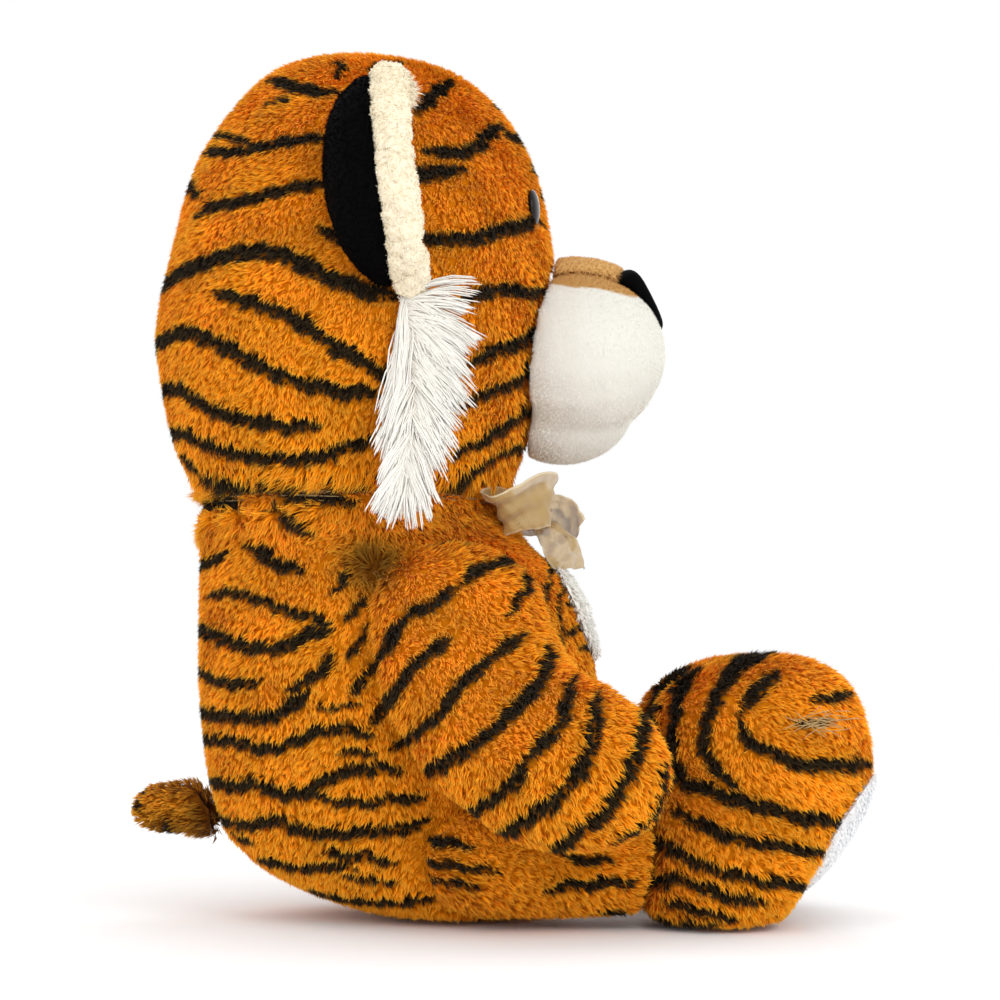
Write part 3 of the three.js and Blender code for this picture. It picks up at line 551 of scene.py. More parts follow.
HEAD_STRIPES = StripePattern((
    Stripe(8, ((220, 522), (208, 502), (201, 491))),
    Stripe(9, ((202, 477), (188, 481), (168, 479), (153, 481), (137, 484), (124, 486), (110, 486))),
    Stripe(8, ((200, 529), (186, 521), (169, 516), (154, 517), (138, 519), (125, 519), (111, 519))),
    Stripe(6, ((196, 544), (181, 531), (163, 522))),
    Stripe(10, ((156, 578), (138, 564), (123, 557), (107, 554))),
    Stripe(6, ((111, 583), (105, 581), (108, 568))),
    Stripe(6, ((88, 575), (76, 582), (65, 585))),
    Stripe(5, ((154, 552), (146, 552), (136, 553))),
    Stripe(8, ((117, 455), (104, 452), (93, 444), (81, 434))),
    Stripe(12, (
        (244, 435), (230, 437), (213, 439), (199, 440), (184, 442), (167, 443), (152, 443), (138, 439),
        (125, 433), (112, 425), (98, 419), (82, 414), (65, 411),
    )),
    Stripe(10, (
        (183, 419), (170, 413), (154, 407), (139, 401), (125, 394), (112, 385), (100, 376), (87, 370),
        (73, 363), (62, 357),
    )),
    Stripe(10, (
        (245, 398), (220, 396), (206, 397), (191, 390), (175, 381), (160, 372), (143, 363), (126, 356),
        (111, 353), (95, 350), (76, 350),
    )),
    Stripe(9, (
        (239, 368), (212, 361), (198, 350), (186, 343), (170, 337), (153, 333), (135, 329), (115, 331),
    )),
    Stripe(8, (
        (235, 341), (208, 331), (195, 323), (181, 317), (163, 313), (146, 311), (128, 310), (113, 312),
        (100, 316), (90, 319), (77, 322),
    )),
    Stripe(6, ((199, 305), (186, 301), (165, 298), (145, 296), (125, 294), (105, 294), (80, 296))),
    Stripe(5, ((218, 320), (207, 312), (201, 305))),
    Stripe(10, ((54, 541), (49, 548), (42, 558), (33, 574))),
    Stripe(12, ((62, 489), (51, 495), (39, 498), (23, 502))),
    Stripe(10, ((48, 511), (36, 514), (25, 514), (14, 522), (7, 534), (1, 545))),
    Stripe(7, ((0, 543), (-7, 539), (-15, 537))),
    Stripe(10, ((55, 456), (45, 451), (32, 451), (16, 455), (0, 464), (-15, 473), (-29, 482))),
    Stripe(9, ((25, 409), (19, 416), (10, 421), (-7, 426), (-20, 428), (-32, 434))),
    Stripe(9, ((19, 372), (10, 378), (-3, 387), (-17, 395), (-30, 407))),
    Stripe(7, ((27, 345), (16, 350), (3, 356), (-8, 363), (-19, 374), (-30, 390))),
    Stripe(6, ((31, 312), (21, 321), (10, 326), (-3, 336), (-17, 349), (-29, 361))),
    Stripe(5, ((37, 295), (25, 302), (13, 308), (1, 317), (-10, 324), (-19, 330))),
    Stripe(8, ((0, 548), (20, 546), (38, 540)), Plane.FRONT, 20),
    Stripe(8, ((0, 526), (18, 525), (32, 519)), Plane.FRONT, 20),
    Stripe(6, ((0, 508), (12, 507), (21, 503)), Plane.FRONT, 20),
    Stripe(6, ((0, 566), (16, 566), (28, 563)), Plane.FRONT, 60),
))

BODY_STRIPES = StripePattern((
    Stripe(11, ((217, 289), (199, 287), (173, 281))),
    Stripe(7, ((143, 285), (125, 284), (108, 282), (95, 282))),
    Stripe(9, ((147, 275), (135, 269), (120, 261))),
    Stripe(8, ((214, 243), (190, 246), (177, 250))),
    Stripe(10, ((166, 254), (157, 251), (150, 244), (141, 239), (126, 236))),
    Stripe(7, ((196, 222), (176, 224), (163, 220), (150, 215), (136, 209), (123, 206), (106, 201))),
    Stripe(9, (
        (216, 204), (191, 196), (177, 190), (163, 187), (146, 185), (133, 187), (123, 194), (106, 197),
    )),
    Stripe(8, ((216, 176), (191, 166), (175, 162), (155, 164))),
    Stripe(8, ((137, 158), (126, 164), (116, 168), (109, 175), (105, 184))),
    Stripe(9, ((216, 148), (195, 142), (176, 141), (156, 140), (142, 143), (131, 151), (121, 158))),
    Stripe(8, (
        (213, 124), (184, 125), (169, 124), (156, 120), (140, 122), (126, 127), (115, 133), (100, 134),
        (82, 130),
    )),
    Stripe(4, ((117, 147), (103, 148), (90, 151))),
    Stripe(9, (
        (200, 97), (173, 94), (160, 98), (150, 93), (137, 90), (124, 92), (113, 99), (100, 106), (84, 109),
        (62, 107),
    )),
    Stripe(7, ((120, 92), (104, 87), (87, 86), (68, 89), (48, 90))),
    Stripe(8, (
        (200, 72), (175, 69), (161, 69), (148, 74), (138, 71), (124, 66), (101, 66), (78, 68), (62, 69),
        (44, 74),
    )),
    Stripe(7, ((163, 45), (147, 44), (132, 41), (111, 44), (93, 45))),
    Stripe(7, ((112, 55), (98, 52), (81, 51), (65, 46))),
    Stripe(6, ((179, 61), (162, 57))),
    Stripe(5, ((101, 38), (85, 36), (65, 34))),
    Stripe(6, ((130, 25), (100, 20), (70, 20), (40, 22))),
    Stripe(4, ((-34, 270), (-35, 240), (-30, 215), (-32, 185))),
    Stripe(3, ((-46, 243), (-40, 212), (-42, 186))),
    Stripe(6, ((-64, 229), (-56, 221), (-47, 213))),
    Stripe(5, ((-70, 203), (-55, 199), (-43, 195))),
    Stripe(5, ((-74, 189), (-64, 185), (-54, 186))),
    Stripe(6, ((-80, 160), (-66, 156), (-40, 158))),
    Stripe(6, ((-80, 132), (-62, 130), (-34, 136))),
    Stripe(6, ((-76, 104), (-58, 104), (-30, 110))),
    Stripe(5, ((-70, 78), (-50, 80), (-24, 84))),
))

TRUNK_STRIPES = replace(BODY_STRIPES, stripes=BODY_STRIPES.stripes + (
    Stripe(8, ((94, 157), (81, 171), (70, 184), (64, 197), (53, 207))),
    Stripe(8, ((82, 135), (69, 151), (59, 163), (53, 174), (42, 181))),
    Stripe(8, ((67, 122), (53, 130), (38, 141), (28, 154))),
    Stripe(7, ((99, 201), (92, 211), (86, 219))),
    Stripe(7, ((108, 222), (99, 230), (96, 240))),
    Stripe(6, ((95, 180), (88, 190), (84, 200))),
    Stripe(6, ((100, 118), (90, 120), (78, 118))),
))

LEG_STRIPES = StripePattern((
    Stripe(8, ((60, 67), (49, 61), (35, 60), (19, 58))),
    Stripe(6, ((62, 48), (45, 46), (26, 45), (0, 42))),
    Stripe(5, ((62, 37), (39, 35), (13, 33))),
    Stripe(8, ((-29, 31), (-48, 34), (-68, 35), (-87, 35))),
    Stripe(6, ((-65, 16), (-85, 11))),
    Stripe(7, ((-39, 53), (-55, 49), (-71, 48))),
    Stripe(8, ((30, 84), (0, 80), (-30, 82), (-60, 84))),
))

ARM_STRIPES = StripePattern((
    Stripe(8, ((92, 157), (81, 171), (70, 184), (64, 197), (53, 207), (41, 212), (26, 222))),
    Stripe(8, ((79, 135), (69, 151), (59, 163), (53, 174), (42, 181), (30, 191))),
    Stripe(8, ((67, 122), (53, 130), (38, 141), (28, 154), (18, 166), (6, 176), (-3, 183), (-14, 191))),
    Stripe(9, (
        (57, 104), (44, 108), (28, 117), (13, 126), (0, 136), (-12, 148), (-24, 160), (-30, 174), (-29, 183),
    )),
    Stripe(8, (
        (29, 77), (17, 84), (3, 93), (-9, 102), (-17, 115), (-27, 127), (-37, 136), (-42, 151), (-45, 164),
    )),
    Stripe(9, (
        (6, 54), (5, 65), (-6, 74), (-21, 84), (-35, 94), (-45, 106), (-53, 118), (-57, 136), (-59, 153),
    )),
    Stripe(9, ((-25, 50), (-39, 66), (-53, 78), (-66, 88), (-73, 100), (-79, 112), (-85, 127), (-87, 145))),
    Stripe(9, ((-56, 52), (-73, 66), (-88, 75), (-99, 87), (-102, 102), (-102, 120)), beyond=186),
    Stripe(7, ((150, 72), (158, 88), (160, 104), (155, 122)), Plane.FRONT, -70),
    Stripe(6, ((176, 70), (179, 88), (177, 108)), Plane.FRONT, -80),
    Stripe(7, ((99, 201), (92, 211), (86, 219))),
    Stripe(8, ((59, 249), (43, 252), (24, 253), (7, 256), (-5, 265))),
    Stripe(6, ((-17, 263), (-17, 243), (-16, 223), (-5, 205))),
    Stripe(8, ((24, 224), (16, 233), (0, 238), (-12, 243), (-17, 252))),
))

FOOT_STRIPES = StripePattern((
    Stripe(7, ((-122, 91), (-114, 116), (-115, 133), (-120, 153), (-131, 169), (-143, 182), (-157, 187))),
    Stripe(9, (
        (-152, 96), (-138, 110), (-133, 125), (-137, 142), (-144, 156), (-155, 170), (-172, 179), (-194, 186),
    )),
    Stripe(8, ((-156, 141), (-162, 151), (-172, 161), (-183, 169))),
    Stripe(9, ((-156, 137), (-159, 128), (-167, 122), (-183, 114), (-200, 109), (-219, 110), (-244, 111))),
    Stripe(10, ((-114, 101), (-132, 95), (-151, 88), (-170, 83), (-189, 78), (-206, 75), (-222, 74))),
    Stripe(8, ((-113, 81), (-132, 71), (-151, 64), (-170, 60), (-189, 57), (-210, 54))),
    Stripe(8, ((-102, 64), (-116, 54), (-132, 47), (-151, 41), (-170, 36), (-204, 30))),
    Stripe(8, ((-78, 33), (-105, 33), (-116, 38), (-132, 32), (-151, 26), (-172, 24))),
    Stripe(6, ((-107, 23), (-129, 17), (-152, 13))),
    Stripe(6, ((-88, 12), (-117, 7), (-139, 9))),
    Stripe(6, ((-202, 152), (-214, 151), (-230, 154))),
    Stripe(5, ((-190, 138), (-204, 135), (-216, 137))),
    Stripe(6, ((-106, 117), (-103, 133), (-108, 152), (-117, 169))),
))

MUZZLE_TAN = StripePattern((
    Stripe(33, ((-10, 455), (-40, 451), (-60, 447), (-78, 441), (-92, 434))),
), waver=0.4, left_shift=0.0)

TAIL_STRIPES = StripePattern((
    Stripe(4, ((249, 97), (246, 84), (247, 70))),
    Stripe(5, ((232, 66), (226, 60), (218, 52))),
), waver=3.0)


# Pile


@dataclass(frozen=True)
class Pile:
    """The size and habit of a pile, lengths in metres.

    Attributes:
        length: Length of a strand.
        thickness: Thickness of a strand at its root.
        spacing: Mean distance between locks.
        strands: Strands in a lock.
        spread: Radius of a lock at its roots.
        lean: How far a lock lies along the nap, as a share of standing up.
        tangle: How far locks stray from the nap.
        gather: How far the strands of a lock run together at the tips.
        bent: Whether the strands are long enough to bend.
    """

    length: float
    thickness: float
    spacing: float
    strands: int
    spread: float
    lean: float = 0.9
    tangle: float = 0.6
    gather: float = 0.6
    bent: bool = False


PILE_VALUES = ("along", "stripe", "tone")

LONG_PILE = Pile(0.0074, 0.0011, 0.00315, 7, 0.0021, tangle=0.75, gather=0.4, bent=True)
PAW_PILE = Pile(0.0080, 0.0011, 0.00315, 7, 0.0021, tangle=0.75, gather=0.4, bent=True)
CHEST_PILE = Pile(0.0052, 0.0010, 0.0026, 7, 0.0018, tangle=0.9, bent=True)
SHORT_PILE = Pile(0.0024, 0.0007, 0.0017, 4, 0.0012, lean=0.9, tangle=0.7, gather=0.1)
VELOUR_PILE = Pile(0.0014, 0.0010, 0.0017, 4, 0.0011, lean=1.0, tangle=0.6, gather=0.1)
EAR_PILE = Pile(0.0030, 0.0009, 0.0018, 4, 0.0013, lean=0.8, tangle=1.0, gather=0.2)
SOLE_PILE = Pile(0.0036, 0.0009, 0.0022, 5, 0.0015, tangle=0.9, bent=True)
CHENILLE_PILE = Pile(0.0028, 0.0012, 0.0018, 4, 0.0014, lean=0.6, tangle=1.6, gather=0.5, bent=True)


@dataclass(frozen=True)
class Spot:
    """A place where the pile behaves in its own way, such as a whorl or a pinch stitch.

    Attributes:
        place: Its place in millimetres, on the right side.
        reach: How far it works along each axis, in millimetres.
        whorl: How far the nap turns to point away from the place, from 0 to 1.
        dent: How far the skin is drawn in, in metres.
        longer: How much longer the pile is, as a share of its length.
        shade: How dark the pile is there, from 0 to 1.
    """

    place: tuple[float, float, float]
    reach: tuple[float, float, float]
    whorl: float = 0.0
    dent: float = 0.0
    longer: float = 0.0
    shade: float = 0.0

    def nearness(self, places: np.ndarray) -> np.ndarray:
        """How strongly the spot works at each place, from 0 to 1."""
        away = (places / MM - np.array(self.place)) / np.array(self.reach)
        return np.exp(-np.sum(away**2, axis=1))

    def on(self, side: Side) -> "Spot":
        """The same spot on one side of the toy."""
        x, y, z = self.place
        return replace(self, place=(-x * side.value, y, z))


class StrandMesh:
    """Collects strands, fibres and skins as arrays, and makes one mesh of them."""

    def __init__(self) -> None:
        """Starts with nothing collected."""
        self.places: list[np.ndarray] = []
        self.faces: list[np.ndarray] = []
        self.counts: list[np.ndarray] = []
        self.values: dict[str, list[np.ndarray]] = {word: [] for word in PILE_VALUES}
        self.total = 0

    def add(
        self, places: np.ndarray, faces: np.ndarray, counts: np.ndarray,
        along: np.ndarray, stripe: np.ndarray, tone: np.ndarray,
    ) -> None:
        """Adds a batch of geometry.

        Args:
            places: Places of the new vertices.
            faces: Corner numbers of all faces in one row, counted from the batch's first vertex.
            counts: Corners in each face.
            along: Share of the way from root to tip at each vertex.
            stripe: Darkness of the stripe at each vertex.
            tone: Brightness of the lock at each vertex, from -1 to 1.
        """
        self.places.append(places)
        self.faces.append(faces + self.total)
        self.counts.append(counts)
        for word, value in zip(PILE_VALUES, (along, stripe, tone)):
            self.values[word].append(value)
        self.total += len(places)

    def add_strands(
        self, lines: np.ndarray, radii: np.ndarray, stripe: np.ndarray, tone: np.ndarray, sides: int = 3
    ) -> None:
        """Adds strands with a point at the end of each line.

        Args:
            lines: An array of N lines of M places.
            radii: An array of N by M - 1 radii; the last place of a line is its tip.
            stripe: Darkness of each strand.
            tone: Brightness of each strand.
            sides: Sides of a strand.
        """
        count, steps = lines.shape[0], lines.shape[1]
        forward = unit(lines[:, -1] - lines[:, 0])
        helper = np.where(np.abs(forward[:, 2:3]) < 0.9, [[0.0, 0.0, 1.0]], [[1.0, 0.0, 0.0]])
        across = unit(np.cross(forward, helper))
        deep = np.cross(forward, across)
        rings = steps - 1
        per = rings * sides + 1
        places = np.zeros((count, per, 3))
        for ring in range(rings):
            for side in range(sides):
                angle = 2 * math.pi * side / sides
                offset = across * math.cos(angle) + deep * math.sin(angle)
                places[:, ring * sides + side] = lines[:, ring] + offset * radii[:, ring:ring + 1]
        places[:, -1] = lines[:, -1]
        faces, counts = [], []
        for ring in range(rings - 1):
            for side in range(sides):
                following = (side + 1) % sides
                low, high = ring * sides, (ring + 1) * sides
                faces += [low + side, low + following, high + following, high + side]
                counts.append(4)
        last = (rings - 1) * sides
        for side in range(sides):
            faces += [last + side, last + (side + 1) % sides, per - 1]
            counts.append(3)
        base = (np.arange(count) * per)[:, None]
        along = np.concatenate([np.repeat(np.arange(rings) / rings, sides), [1.0]])
        self.add(
            places.reshape(-1, 3),
            (base + np.array(faces)[None, :]).ravel(),
            np.tile(np.array(counts), count),
            np.tile(along, count),
            np.repeat(stripe, per),
            np.repeat(tone, per),
        )

    def add_fibres(
        self, lines: np.ndarray, across: np.ndarray, widths: np.ndarray, stripe: np.ndarray, tone: np.ndarray
    ) -> None:
        """Adds flat fibres with a point at the end of each line.

        Args:
            lines: An array of N lines, of three places for bent fibres or two for straight ones.
            across: N directions in which the fibres are wide.
            widths: N widths, each at the last place but one of its line.
            stripe: Darkness of each fibre.
            tone: Brightness of each fibre.
        """
        count, bent = len(lines), lines.shape[1] - 2
        offset = across * (widths / 2)[:, None]
        corners = [lines[:, k] for k in range(bent)]
        corners += [lines[:, bent] - offset, lines[:, bent] + offset, lines[:, -1]]
        faces = np.array([0, 2, 1, 1, 2, 3] if bent else [0, 1, 2])
        along = np.array([0.0, 0.5, 0.5, 1.0] if bent else [0.0, 0.0, 1.0])
        per = len(corners)
        self.add(
            np.stack(corners, axis=1).reshape(-1, 3),
            ((np.arange(count) * per)[:, None] + faces[None, :]).ravel(),
            np.full(count * (1 + bent), 3),
            np.tile(along, count),
            np.repeat(stripe, per),
            np.repeat(tone, per),
        )

    def add_skin(self, skin: bpy.types.Object, dark: np.ndarray, depth: float) -> None:
        """Adds the woven backing that the pile grows from.

        Args:
            skin: The backing's mesh object, at the origin.
            dark: Darkness of the stripes at each of its vertices.
            depth: Where its colour lies between root and tip; a low value paints the skin dark as shade
                between the fibres.
        """
        mesh = skin.data
        places = read_places(mesh)
        corners = np.zeros(len(mesh.loops), np.int64)
        mesh.loops.foreach_get("vertex_index", corners)
        counts = np.zeros(len(mesh.polygons), np.int64)
        mesh.polygons.foreach_get("loop_total", counts)
        n = len(places)
        self.add(places, corners, counts, np.full(n, depth), dark, np.zeros(n))

    def make(self, name: str, finish: Finish) -> bpy.types.Object:
        """Makes one object of all that was added.

        Args:
            name: Name of the object.
            finish: Its finish.

        Returns:
            The new object, at the origin.
        """
        places = np.concatenate(self.places)
        corners = np.concatenate(self.faces).astype(np.int32)
        counts = np.concatenate(self.counts).astype(np.int32)
        mesh = bpy.data.meshes.new(name)
        mesh.vertices.add(len(places))
        mesh.vertices.foreach_set("co", places.astype(np.float32).ravel())
        mesh.loops.add(len(corners))
        mesh.loops.foreach_set("vertex_index", corners)
        mesh.polygons.add(len(counts))
        starts = np.concatenate([[0], np.cumsum(counts)[:-1]]).astype(np.int32)
        mesh.polygons.foreach_set("loop_start", starts)
        mesh.polygons.foreach_set("loop_total", counts)
        mesh.polygons.foreach_set("use_smooth", np.ones(len(counts), bool))
        mesh.update(calc_edges=True)
        mesh.validate()
        for word, values in self.values.items():
            attribute = mesh.attributes.new(word, "FLOAT", "POINT")
            attribute.data.foreach_set("value", np.concatenate(values).astype(np.float32))
        mesh.materials.append(finish.material())
        made = bpy.data.objects.new(name, mesh)
        bpy.context.collection.objects.link(made)
        return made


def read_vectors(data: bpy.types.bpy_prop_collection, word: str) -> np.ndarray:
    """One vector of each element of a mesh, as an array.

    Args:
        data: The mesh's elements.
        word: The element's property that holds the vector.

    Returns:
        An array of N vectors.
    """
    vectors = np.zeros(len(data) * 3)
    data.foreach_get(word, vectors)
    return vectors.reshape(-1, 3)


def read_places(mesh: bpy.types.Mesh) -> np.ndarray:
    """The places of a mesh's vertices."""
    return read_vectors(mesh.vertices, "co")


def read_normals(mesh: bpy.types.Mesh) -> np.ndarray:
    """The normals of a mesh's vertices."""
    return read_vectors(mesh.vertices, "normal")


def unit(vectors: np.ndarray) -> np.ndarray:
    """The vectors at a length of 1."""
    return vectors / (np.linalg.norm(vectors, axis=1, keepdims=True) + TINY)


def read_table(at: np.ndarray, table: tuple[tuple[float, float], ...]) -> np.ndarray:
    """Values between the rows of a table of places and values."""
    places, values = zip(*table)
    return np.interp(at, places, values)


def slow_noise(places: np.ndarray, pitch: float, seed: float) -> np.ndarray:
    """Smooth noise over space, from about -1 to 1.

    Args:
        places: N places in metres.
        pitch: Size of its waves in metres.
        seed: Any number; another one gives another noise.

    Returns:
        N values.
    """
    x, y, z = (places / pitch).T
    total = np.sin(x * 1.7 + y * 2.3 + seed) + np.sin(y * 1.9 - z * 2.1 + seed * 1.7)
    total += np.sin(z * 2.7 + x * 1.3 + seed * 2.3) + np.sin(x * 3.1 - y * 1.1 + z * 1.9 + seed * 3.1)
    return total / 3


# Shaping by Blender's own tools


MERGE_GAP = 1e-5
SMOOTHING = 0.5
LAST_ROUNDS = 2

def only(chosen: bpy.types.Object) -> None:
    """Selects one object alone and makes it the active one.

    Args:
        chosen: The object.
    """
    bpy.ops.object.select_all(action="DESELECT")
    chosen.select_set(True)
    bpy.context.view_layer.objects.active = chosen


def apply_modifier(piece: bpy.types.Object, kind: str, **settings: object) -> None:
    """Adds a modifier and applies it.

    Args:
        piece: The object to change.
        kind: The modifier's type.
        settings: Its settings by name.
    """
    only(piece)
    modifier = piece.modifiers.new(kind.title(), kind)
    for word, value in settings.items():
        setattr(modifier, word, value)
    bpy.ops.object.modifier_apply(modifier=modifier.name)


def merged_copy(name: str, nodes: tuple[str, ...]) -> bpy.types.Object:
    """A joined, merged copy of frame nodes as an object of its own.

    Args:
        name: Name of the new object.
        nodes: Names of the nodes.

    Returns:
        The copy, at the origin.
    """
    copies = []
    for node in nodes:
        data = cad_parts[node].data.copy()
        data.materials.clear()
        copy = bpy.data.objects.new(name, data)
        bpy.context.collection.objects.link(copy)
        copies.append(copy)
    only(copies[0])
    for copy in copies:
        copy.select_set(True)
    if len(copies) > 1:
        bpy.ops.object.join()
    bpy.ops.object.mode_set(mode="EDIT")
    bpy.ops.mesh.select_all(action="SELECT")
    bpy.ops.mesh.remove_doubles(threshold=MERGE_GAP)
    bpy.ops.object.mode_set(mode="OBJECT")
    return copies[0]


def outer_part(piece: bpy.types.Object) -> bpy.types.Object:
    """Keeps the largest loose part of a piece and removes what lies closed inside it.

    Args:
        piece: The piece.

    Returns:
        Its largest part as an object of its own.
    """
    only(piece)
    bpy.ops.object.mode_set(mode="EDIT")
    bpy.ops.mesh.select_all(action="SELECT")
    bpy.ops.mesh.separate(type="LOOSE")
    bpy.ops.object.mode_set(mode="OBJECT")
    parts = sorted(bpy.context.selected_objects, key=lambda part: len(part.data.vertices))
    for part in parts[:-1]:
        bpy.data.objects.remove(part)
    return parts[-1]


def sewn_skin(
    name: str, nodes: tuple[str, ...], inset: float, voxel: float, smoothing: int
) -> bpy.types.Object:
    """The backing of a stuffed piece, sunk under its pile.

    Args:
        name: Name of the skin.
        nodes: The frame nodes whose space it fills.
        inset: How far it lies under the frame's surface.
        voxel: Size of its faces.
        smoothing: Rounds of smoothing over the frame's flat faces.

    Returns:
        The skin as one closed mesh.
    """
    skin = merged_copy(name, nodes)
    apply_modifier(skin, "REMESH", mode="VOXEL", voxel_size=voxel)
    skin = outer_part(skin)
    apply_modifier(skin, "SMOOTH", factor=SMOOTHING, iterations=smoothing)
    apply_modifier(skin, "DISPLACE", strength=-inset, mid_level=0.0)
    apply_modifier(skin, "SMOOTH", factor=SMOOTHING, iterations=LAST_ROUNDS)
    return skin


class Neighbours:
    """The frame surfaces round a piece, which press its pile short or bury it."""

    LOOSE = ("stuffing", "washer", "pellet", "ribbon", "bow", "cheek")

    def __init__(self, nodes: Iterable[str]) -> None:
        """Builds the search tree over the nodes.

        Args:
            nodes: Names of the frame nodes.
        """
        corners: list[Vector] = []
        faces: list[tuple[int, ...]] = []
        for node in nodes:
            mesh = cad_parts[node].data
            base = len(corners)
            corners += [vertex.co.copy() for vertex in mesh.vertices]
            faces += [tuple(base + k for k in polygon.vertices) for polygon in mesh.polygons]
        self.tree = BVHTree.FromPolygons(corners, faces) if faces else None

    @classmethod
    def covers_but(cls, own: tuple[str, ...]) -> "Neighbours":
        """All the covers of the toy but a piece's own.

        Args:
            own: Names of the piece's own nodes.

        Returns:
            The covers as neighbours.
        """
        return cls(
            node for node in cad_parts
            if node not in own and not any(word in node for word in cls.LOOSE)
        )

    def room(self, places: np.ndarray, reach: float) -> np.ndarray:
        """Distance from each place to the nearest neighbour, at most reach.

        Args:
            places: N places.
            reach: The greatest distance that counts.

        Returns:
            N distances.
        """
        room = np.full(len(places), reach)
        if self.tree is None:
            return room
        for k, place in enumerate(places):
            found = self.tree.find_nearest(Vector(place), reach)
            if found[0] is not None:
                room[k] = found[3]
        return room

    def over(self, places: np.ndarray, normals: np.ndarray, reach: float) -> np.ndarray:
        """Whether a neighbour lies right over each place."""
        hits = (self.tree.ray_cast(Vector(p), Vector(n), reach) for p, n in zip(places, normals))
        return np.fromiter((hit[0] is not None for hit in hits), bool, len(places))


class Growth:
    """What all piles share when they grow.

    Attributes:
        SINK: Depth of the skin, in lengths of the pile.
        LEAST: The least to which a neighbour presses the pile, as a share of its length.
        ROOM_REACH: How far round neighbours are looked for, in lengths of the pile.
        ROOM_USED: Share of the room that the pile takes.
        COVERED: How near over a root another cover buries it, in lengths of the pile.
        COVER_GAP: What is added to that, in metres.
        DOWNWARD: Slope past which the pile hangs over the floor.
        FLOOR_GAP: Room left over the floor, in metres.
        SHORTEST: Shortest pile over the floor, in metres.
        LOCK_TONE: How far locks differ in brightness.
        PATCH_TONE: How far larger patches differ in brightness.
        PATCH_SIZE: Size of these patches, in metres.
        FIBRE_TONE: How far the fibres of a lock differ in brightness.
        SWAY: How far the nap sways from patch to patch, in radians.
        SWAY_SIZE: Size of these patches, in metres.
        LOCK_TURN: How far locks turn from the nap where the tangle is 1, in radians.
        STRAY: How far fibres stray from their lock where the tangle is 1.
        LENGTHS: Shortest and longest fibre, as shares of the lock's length.
        SIZES: Thinnest and thickest fibre, as shares of the pile's thickness.
        ROLL: How far fibres roll about their length, in radians.
        LOWER: Length under the bend, as a share.
        UPPER: Length over the bend, as a share.
        LOWER_GATHER: Share of the gathering that happens under the bend.
        UPPER_GATHER: Share of the gathering that happens over it.
        LOWER_LEAN: Share of the lean that a fibre has under the bend.
        UPPER_RISE: Share of standing up that it keeps over the bend.
        UPPER_STRAY: How much more it strays over the bend.
    """

    SINK = 0.62
    LEAST = 0.45
    ROOM_REACH = 1.6
    ROOM_USED = 0.9
    COVERED = 0.7
    COVER_GAP = 0.0005
    DOWNWARD = -0.2
    FLOOR_GAP = 0.001
    SHORTEST = 0.0015
    LOCK_TONE = 0.3
    PATCH_TONE = 0.4
    PATCH_SIZE = 0.024
    FIBRE_TONE = 0.25
    SWAY = 0.55
    SWAY_SIZE = 0.028
    LOCK_TURN = 0.42
    STRAY = 0.14
    LENGTHS = (0.7, 1.1)
    SIZES = (0.75, 1.25)
    ROLL = 0.6
    LOWER = 0.5
    UPPER = 0.55
    LOWER_GATHER = 0.4
    UPPER_GATHER = 0.5
    LOWER_LEAN = 0.5
    UPPER_RISE = 0.5
    UPPER_STRAY = 1.5


